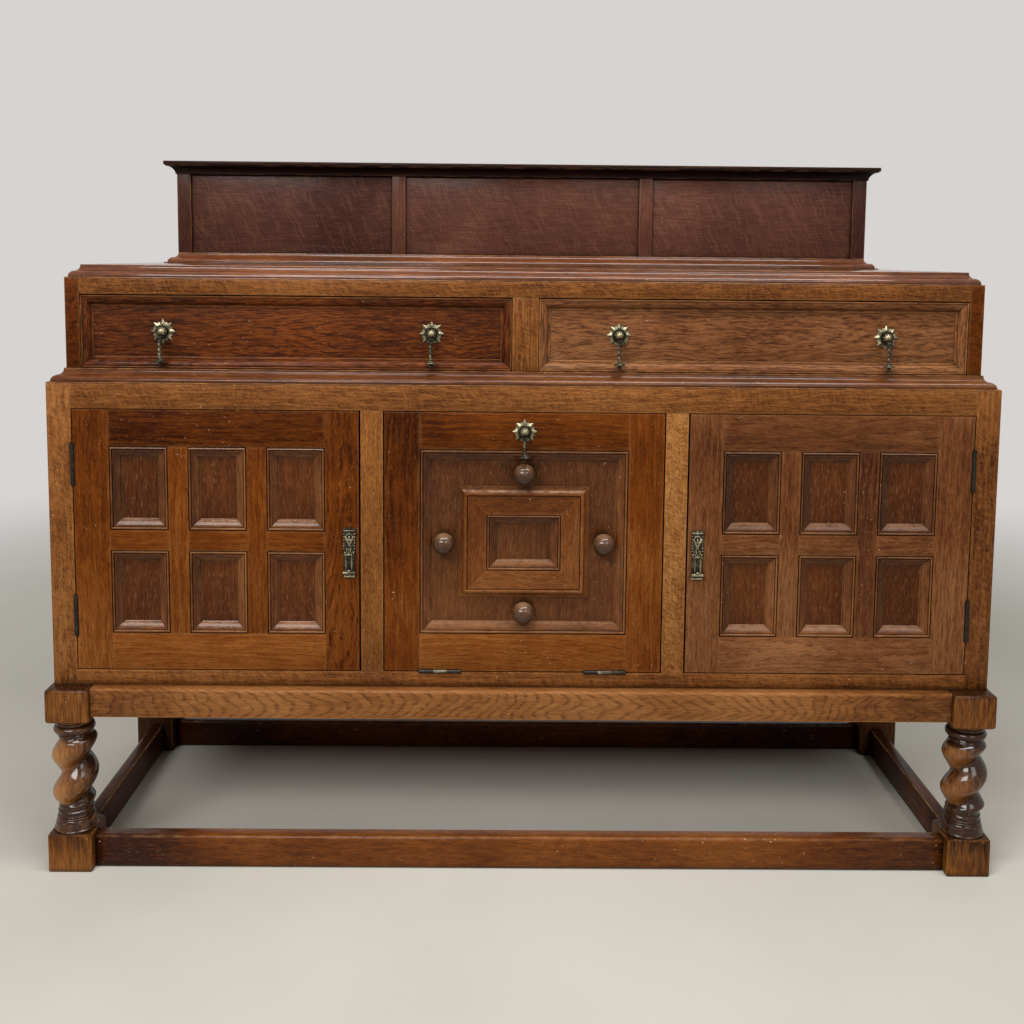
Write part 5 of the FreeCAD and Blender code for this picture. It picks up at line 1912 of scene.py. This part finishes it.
@dataclass
class Door:
    """A cupboard door of six sunk panels with its cast pull."""

    side: str
    first: float = 0.3164
    step: float = 0.12445
    feet: tuple[float, ...] = (0.3892, 0.5572)
    opening: tuple[float, float] = (0.093, 0.135)
    moulding: float = 0.018

    def mouldings(self) -> bpy.types.Object:
        """Run a moulding round each of the six openings.

        Returns:
            The mouldings as one piece.
        """
        door = f"{self.side}_door"
        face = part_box(f"{door}_frame")[0].y
        wide, tall = self.opening
        runner = MitredMoulding(PANEL_PROFILE, self.moulding)
        strips = []
        for column in range(3):
            left = self.first + self.step * column
            if self.side == "left":
                left = -left - wide
            for foot in self.feet:
                low, high = Vector((left, face, foot)), Vector((left + wide, face, foot + tall))
                strips += runner.run(low, high, f"{door} {column} {foot}", Grain(Cut.RIFT))
        piece = joined(f"{door}_mouldings_run", strips)
        smooth(piece, MOULDING_SMOOTH)
        return handed_over(piece, door, [f"{door}_mouldings"], MOULDING_OAK)

    def build(self) -> None:
        """Make the door's boards, mouldings and pull."""
        door = f"{self.side}_door"
        left = self.side == "left"
        tones = ((0, 0.35), (2, 0.6), (3, 0.3)) if left else ((2, 0.6), (3, 0.75))
        bold, crowns = ((0,), (0,)) if left else ((), (2, 3))
        grain = Grain(Cut.RIFT, tones=tones, crowns=crowns, bold=bold, faint=0.4)
        Boards(f"{door}_frame", FRAME_OAK if left else RIGHT_FRAME_OAK, grain, FRAME_EASE,
               FRAME_RIM_EASE).build()
        shades = (0.5, 0.4, 0.55, 0.3, 0.6, 0.45) if left else (0.65, 0.5, 0.6, 0.7, 0.55, 0.6)
        panels = Grain(Cut.CROWN, 0.03, 0.06, tones=tuple(enumerate(shades)))
        Boards(f"{door}_panels", PANEL_OAK, panels, FINE_EASE).build()
        self.mouldings()
        PlatePull(self.side).build()


@dataclass
class Flap:
    """The fall flap with its raised tablet, four ball knobs and a star pull."""

    knob: float = 0.0175
    neck: float = 0.009
    neck_rise: float = 0.0034
    collar: float = 0.0125
    collar_bead: tuple[float, float] = (0.0115, 0.0014)
    tenon: float = 0.005
    knob_length: float = 0.036
    tenon_length: float = 0.007
    across: float = 0.1275
    above: float = 0.112
    pull_hang: float = 0.036
    field: float = 0.166
    field_foot: float = 0.3912
    field_head: float = 0.6912
    moulding: float = 0.0195
    band: float = 0.045
    tablet_moulding: float = 0.017

    def knobs(self) -> bpy.types.Object:
        """Turn one knob and set four of them on the flap's field.

        Returns:
            The knobs as one piece.
        """
        low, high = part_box("flap_knobs")
        middle = (low + high) / 2
        field = low.y + self.knob_length
        ball_middle = self.knob_length - self.knob
        profile = [(0.0, -self.tenon_length), (self.tenon, -self.tenon_length), (self.tenon, 0.0), (self.collar, 0.0)]
        out, bead = self.collar_bead
        profile += arc((out, bead), bead, -40, 80, 4)
        profile += [(self.neck, self.neck_rise)]
        start = -math.degrees(math.acos(self.neck / self.knob))
        profile += arc((0.0, ball_middle), self.knob, start, 90, 20)
        parts = []
        for x, z in ((-self.across, 0.0), (self.across, 0.0), (0.0, -self.above), (0.0, self.above)):
            knob = from_pattern("knob", lambda: turning("knob", profile, (0, 0, 0), (0, -1, 0), 48))
            knob.data.transform(Matrix.Translation((middle.x + x, field, middle.z + z)))
            # Upward faces get a high relief: the knob tops are painted lighter as painted light, and wear there.
            rise = np.array([0.5 + 0.5 * point.normal.z for point in knob.data.vertices])
            Grain(Cut.CROWN).mark_single(knob, f"knob {x} {z}", rise)
            parts.append(knob)
        piece = joined("flap_knobs_turned", parts)
        smooth(piece, TURNED_SMOOTH)
        return handed_over(piece, "flap", ["flap_knobs"], KNOB_OAK)

    def mouldings(self) -> None:
        """The moulding round the field, the raised tablet and the moulding of its sunk middle."""
        low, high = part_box("flap_frame")
        face = low.y
        low, high = Vector((-self.field, face, self.field_foot)), Vector((self.field, face, self.field_head))
        grain = Grain(Cut.RIFT)
        strips = MitredMoulding(PANEL_PROFILE, self.moulding).run(low, high, "flap field", grain)
        tablet_low, tablet_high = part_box("flap_tablet")
        tablet_low.y = face
        tablet = MitredMoulding(TABLET_PROFILE, self.band).run(tablet_low, tablet_high, "tablet", grain)
        inset = Vector((self.band, 0.0, self.band))
        strips += MitredMoulding(PANEL_PROFILE, self.tablet_moulding).run(tablet_low + inset, tablet_high - inset,
                                                                          "tablet middle", grain)
        for name, parts, finish in (("mouldings", strips, MOULDING_OAK), ("tablet", tablet, TABLET_OAK)):
            piece = joined(f"flap_{name}_run", parts)
            smooth(piece, MOULDING_SMOOTH)
            handed_over(piece, "flap", [f"flap_{name}"], finish)

    def build(self) -> None:
        """Make the flap's boards, mouldings, knobs and pull."""
        tones = ((0, 0.55), (1, 0.15), (2, 0.6))
        grain = Grain(Cut.RIFT, tones=tones, bold=(), faint=0.4)
        Boards("flap_frame", FRAME_OAK, grain, FRAME_EASE, FRAME_RIM_EASE).build()
        Boards("flap_panel", FIELD_OAK, Grain(Cut.CROWN, upright=True), FINE_EASE).build()
        self.mouldings()
        self.knobs()
        StarRosette().build("flap_pull_rosette_cast", "flap", "flap_pull_rosette", ["flap_drop_swing"])
        TwistedDrop(self.pull_hang).build("flap_pull_drop_cast", "flap_drop", "flap_pull_drop", "flap_drop_swing")


@dataclass
class Drawer:
    """A drawer with a moulded front and two star pulls."""

    side: str
    pull_hang: float = 0.044

    def build(self) -> None:
        """Make the drawer's boards and pulls."""
        drawer = f"{self.side}_drawer"
        tone, finish = (0.15, DRAWER_OAK) if self.side == "left" else (0.6, RIGHT_DRAWER_OAK)
        grain = Grain(Cut.CROWN, 0.035, 0.06, tones=tuple((index, tone) for index in range(5)))
        Boards(f"{drawer}_front", finish, grain, FINE_EASE).build()
        Boards(f"{drawer}_box", INSIDE_OAK, Grain(Cut.RIFT), FINE_EASE).build()
        swings = [f"{drawer}_{end}_pull_swing" for end in ("inner", "outer")]
        StarRosette().build(f"{drawer}_rosettes_cast", drawer, f"{drawer}_rosettes", swings)
        for end in ("inner", "outer"):
            TwistedDrop(self.pull_hang).build(f"{drawer}_{end}_drop_cast", f"{drawer}_{end}_pull",
                                              f"{drawer}_{end}_drop", f"{drawer}_{end}_pull_swing")


# Studio


@dataclass(frozen=True)
class Lamp:
    """A soft rectangular lamp: its place, the point that it faces, its width and height, and its power in watts."""

    name: str
    place: Triple
    aim: Triple
    size: tuple[float, float]
    power: float

    def build(self) -> None:
        """Hang the lamp in its place and turn it to its aim."""
        data = bpy.data.lights.new(self.name, "AREA")
        data.shape = "RECTANGLE"
        data.size, data.size_y = self.size
        data.energy = self.power
        lamp = bpy.data.objects.new(self.name, data)
        lamp.location = self.place
        lamp.rotation_euler = (Vector(self.aim) - Vector(self.place)).to_track_quat("-Z", "Y").to_euler()
        bpy.context.scene.collection.objects.link(lamp)


@dataclass
class Studio:
    """A plain pale floor, soft lights and the camera at the photograph's viewing angle."""

    place: Triple = (-0.0344, -1.9841, 1.0)
    pitch: float = -0.0943
    yaw: float = -0.0075
    roll: float = 0.0095
    lens: float = 39.38
    shift: float = -0.148
    floor_size: float = 12.0
    backdrop: Colour = srgb(214, 211, 209)
    glow: Colour = (1.0, 0.985, 0.96, 1.0)
    ambient: float = 0.16
    lamps: tuple[Lamp, ...] = (
        Lamp("overhead", (0.2, -0.9, 3.0), (0.0, -0.2, 0.6), (3.2, 0.45), 70.0),
        Lamp("front", (-1.7, -3.2, 2.9), (0.0, 0.0, 0.4), (2.4, 0.9), 108.0),
        Lamp("window", (1.7, -3.0, 2.7), (0.3, 0.0, 0.5), (1.6, 1.0), 27.0),
        Lamp("behind", (0.6, 3.6, 2.4), (0.0, 0.0, 0.6), (2.6, 1.6), 9.0),
    )

    def floor(self) -> None:
        """The floor that the sideboard stands on."""
        bpy.ops.object.select_all(action="DESELECT")
        bpy.ops.mesh.primitive_plane_add(size=self.floor_size)
        floor = named("floor")
        floor.data.materials.append(material_of(PALE_FLOOR))

    def sky(self) -> None:
        """An even soft light all round, seen as a pale backdrop."""
        world = bpy.data.worlds.new("pale_backdrop")
        world.use_nodes = True
        tree = world.node_tree
        tree.nodes.clear()
        path = tree.nodes.new("ShaderNodeLightPath")
        faces = []
        for colour, strength in ((self.backdrop, 1.0), (self.glow, self.ambient)):
            face = tree.nodes.new("ShaderNodeBackground")
            face.inputs["Color"].default_value = colour
            face.inputs["Strength"].default_value = strength
            faces.append(face.outputs[0])
        seen, glow = faces
        for ray in ("Is Camera Ray", "Is Glossy Ray", "Is Transmission Ray"):
            choose = tree.nodes.new("ShaderNodeMixShader")
            tree.links.new(path.outputs[ray], choose.inputs[0])
            tree.links.new(glow, choose.inputs[1])
            tree.links.new(seen, choose.inputs[2])
            glow = choose.outputs[0]
        out = tree.nodes.new("ShaderNodeOutputWorld")
        tree.links.new(glow, out.inputs["Surface"])
        bpy.context.scene.world = world

    def camera(self) -> None:
        """Set the camera at the photograph's viewing angle."""
        data = bpy.data.cameras.new("camera")
        data.lens = self.lens
        data.shift_y = self.shift
        camera = bpy.data.objects.new("camera", data)
        turn = (Matrix.Rotation(self.yaw, 4, "Z") @ Matrix.Rotation(math.pi / 2 + self.pitch, 4, "X")
                @ Matrix.Rotation(self.roll, 4, "Z"))
        camera.matrix_world = Matrix.Translation(self.place) @ turn
        bpy.context.scene.collection.objects.link(camera)
        bpy.context.scene.camera = camera

    def build(self) -> None:
        """Set up the floor, the lights and the camera."""
        self.floor()
        self.sky()
        for lamp in self.lamps:
            lamp.build()
        self.camera()
        bpy.context.scene.view_settings.view_transform = "Standard"


def main() -> None:
    """Build every sub-assembly in order, then the studio, and note the sizes."""
    logging.basicConfig(level=logging.INFO, format="%(name)s: %(message)s")
    for part in (Stand(), LowerCase(), UpperCase(), Door("left"), Door("right"), Flap(), Drawer("left"),
                 Drawer("right"), Ironmongery(), Studio()):
        part.build()


if __name__ == "__main__":
    main()
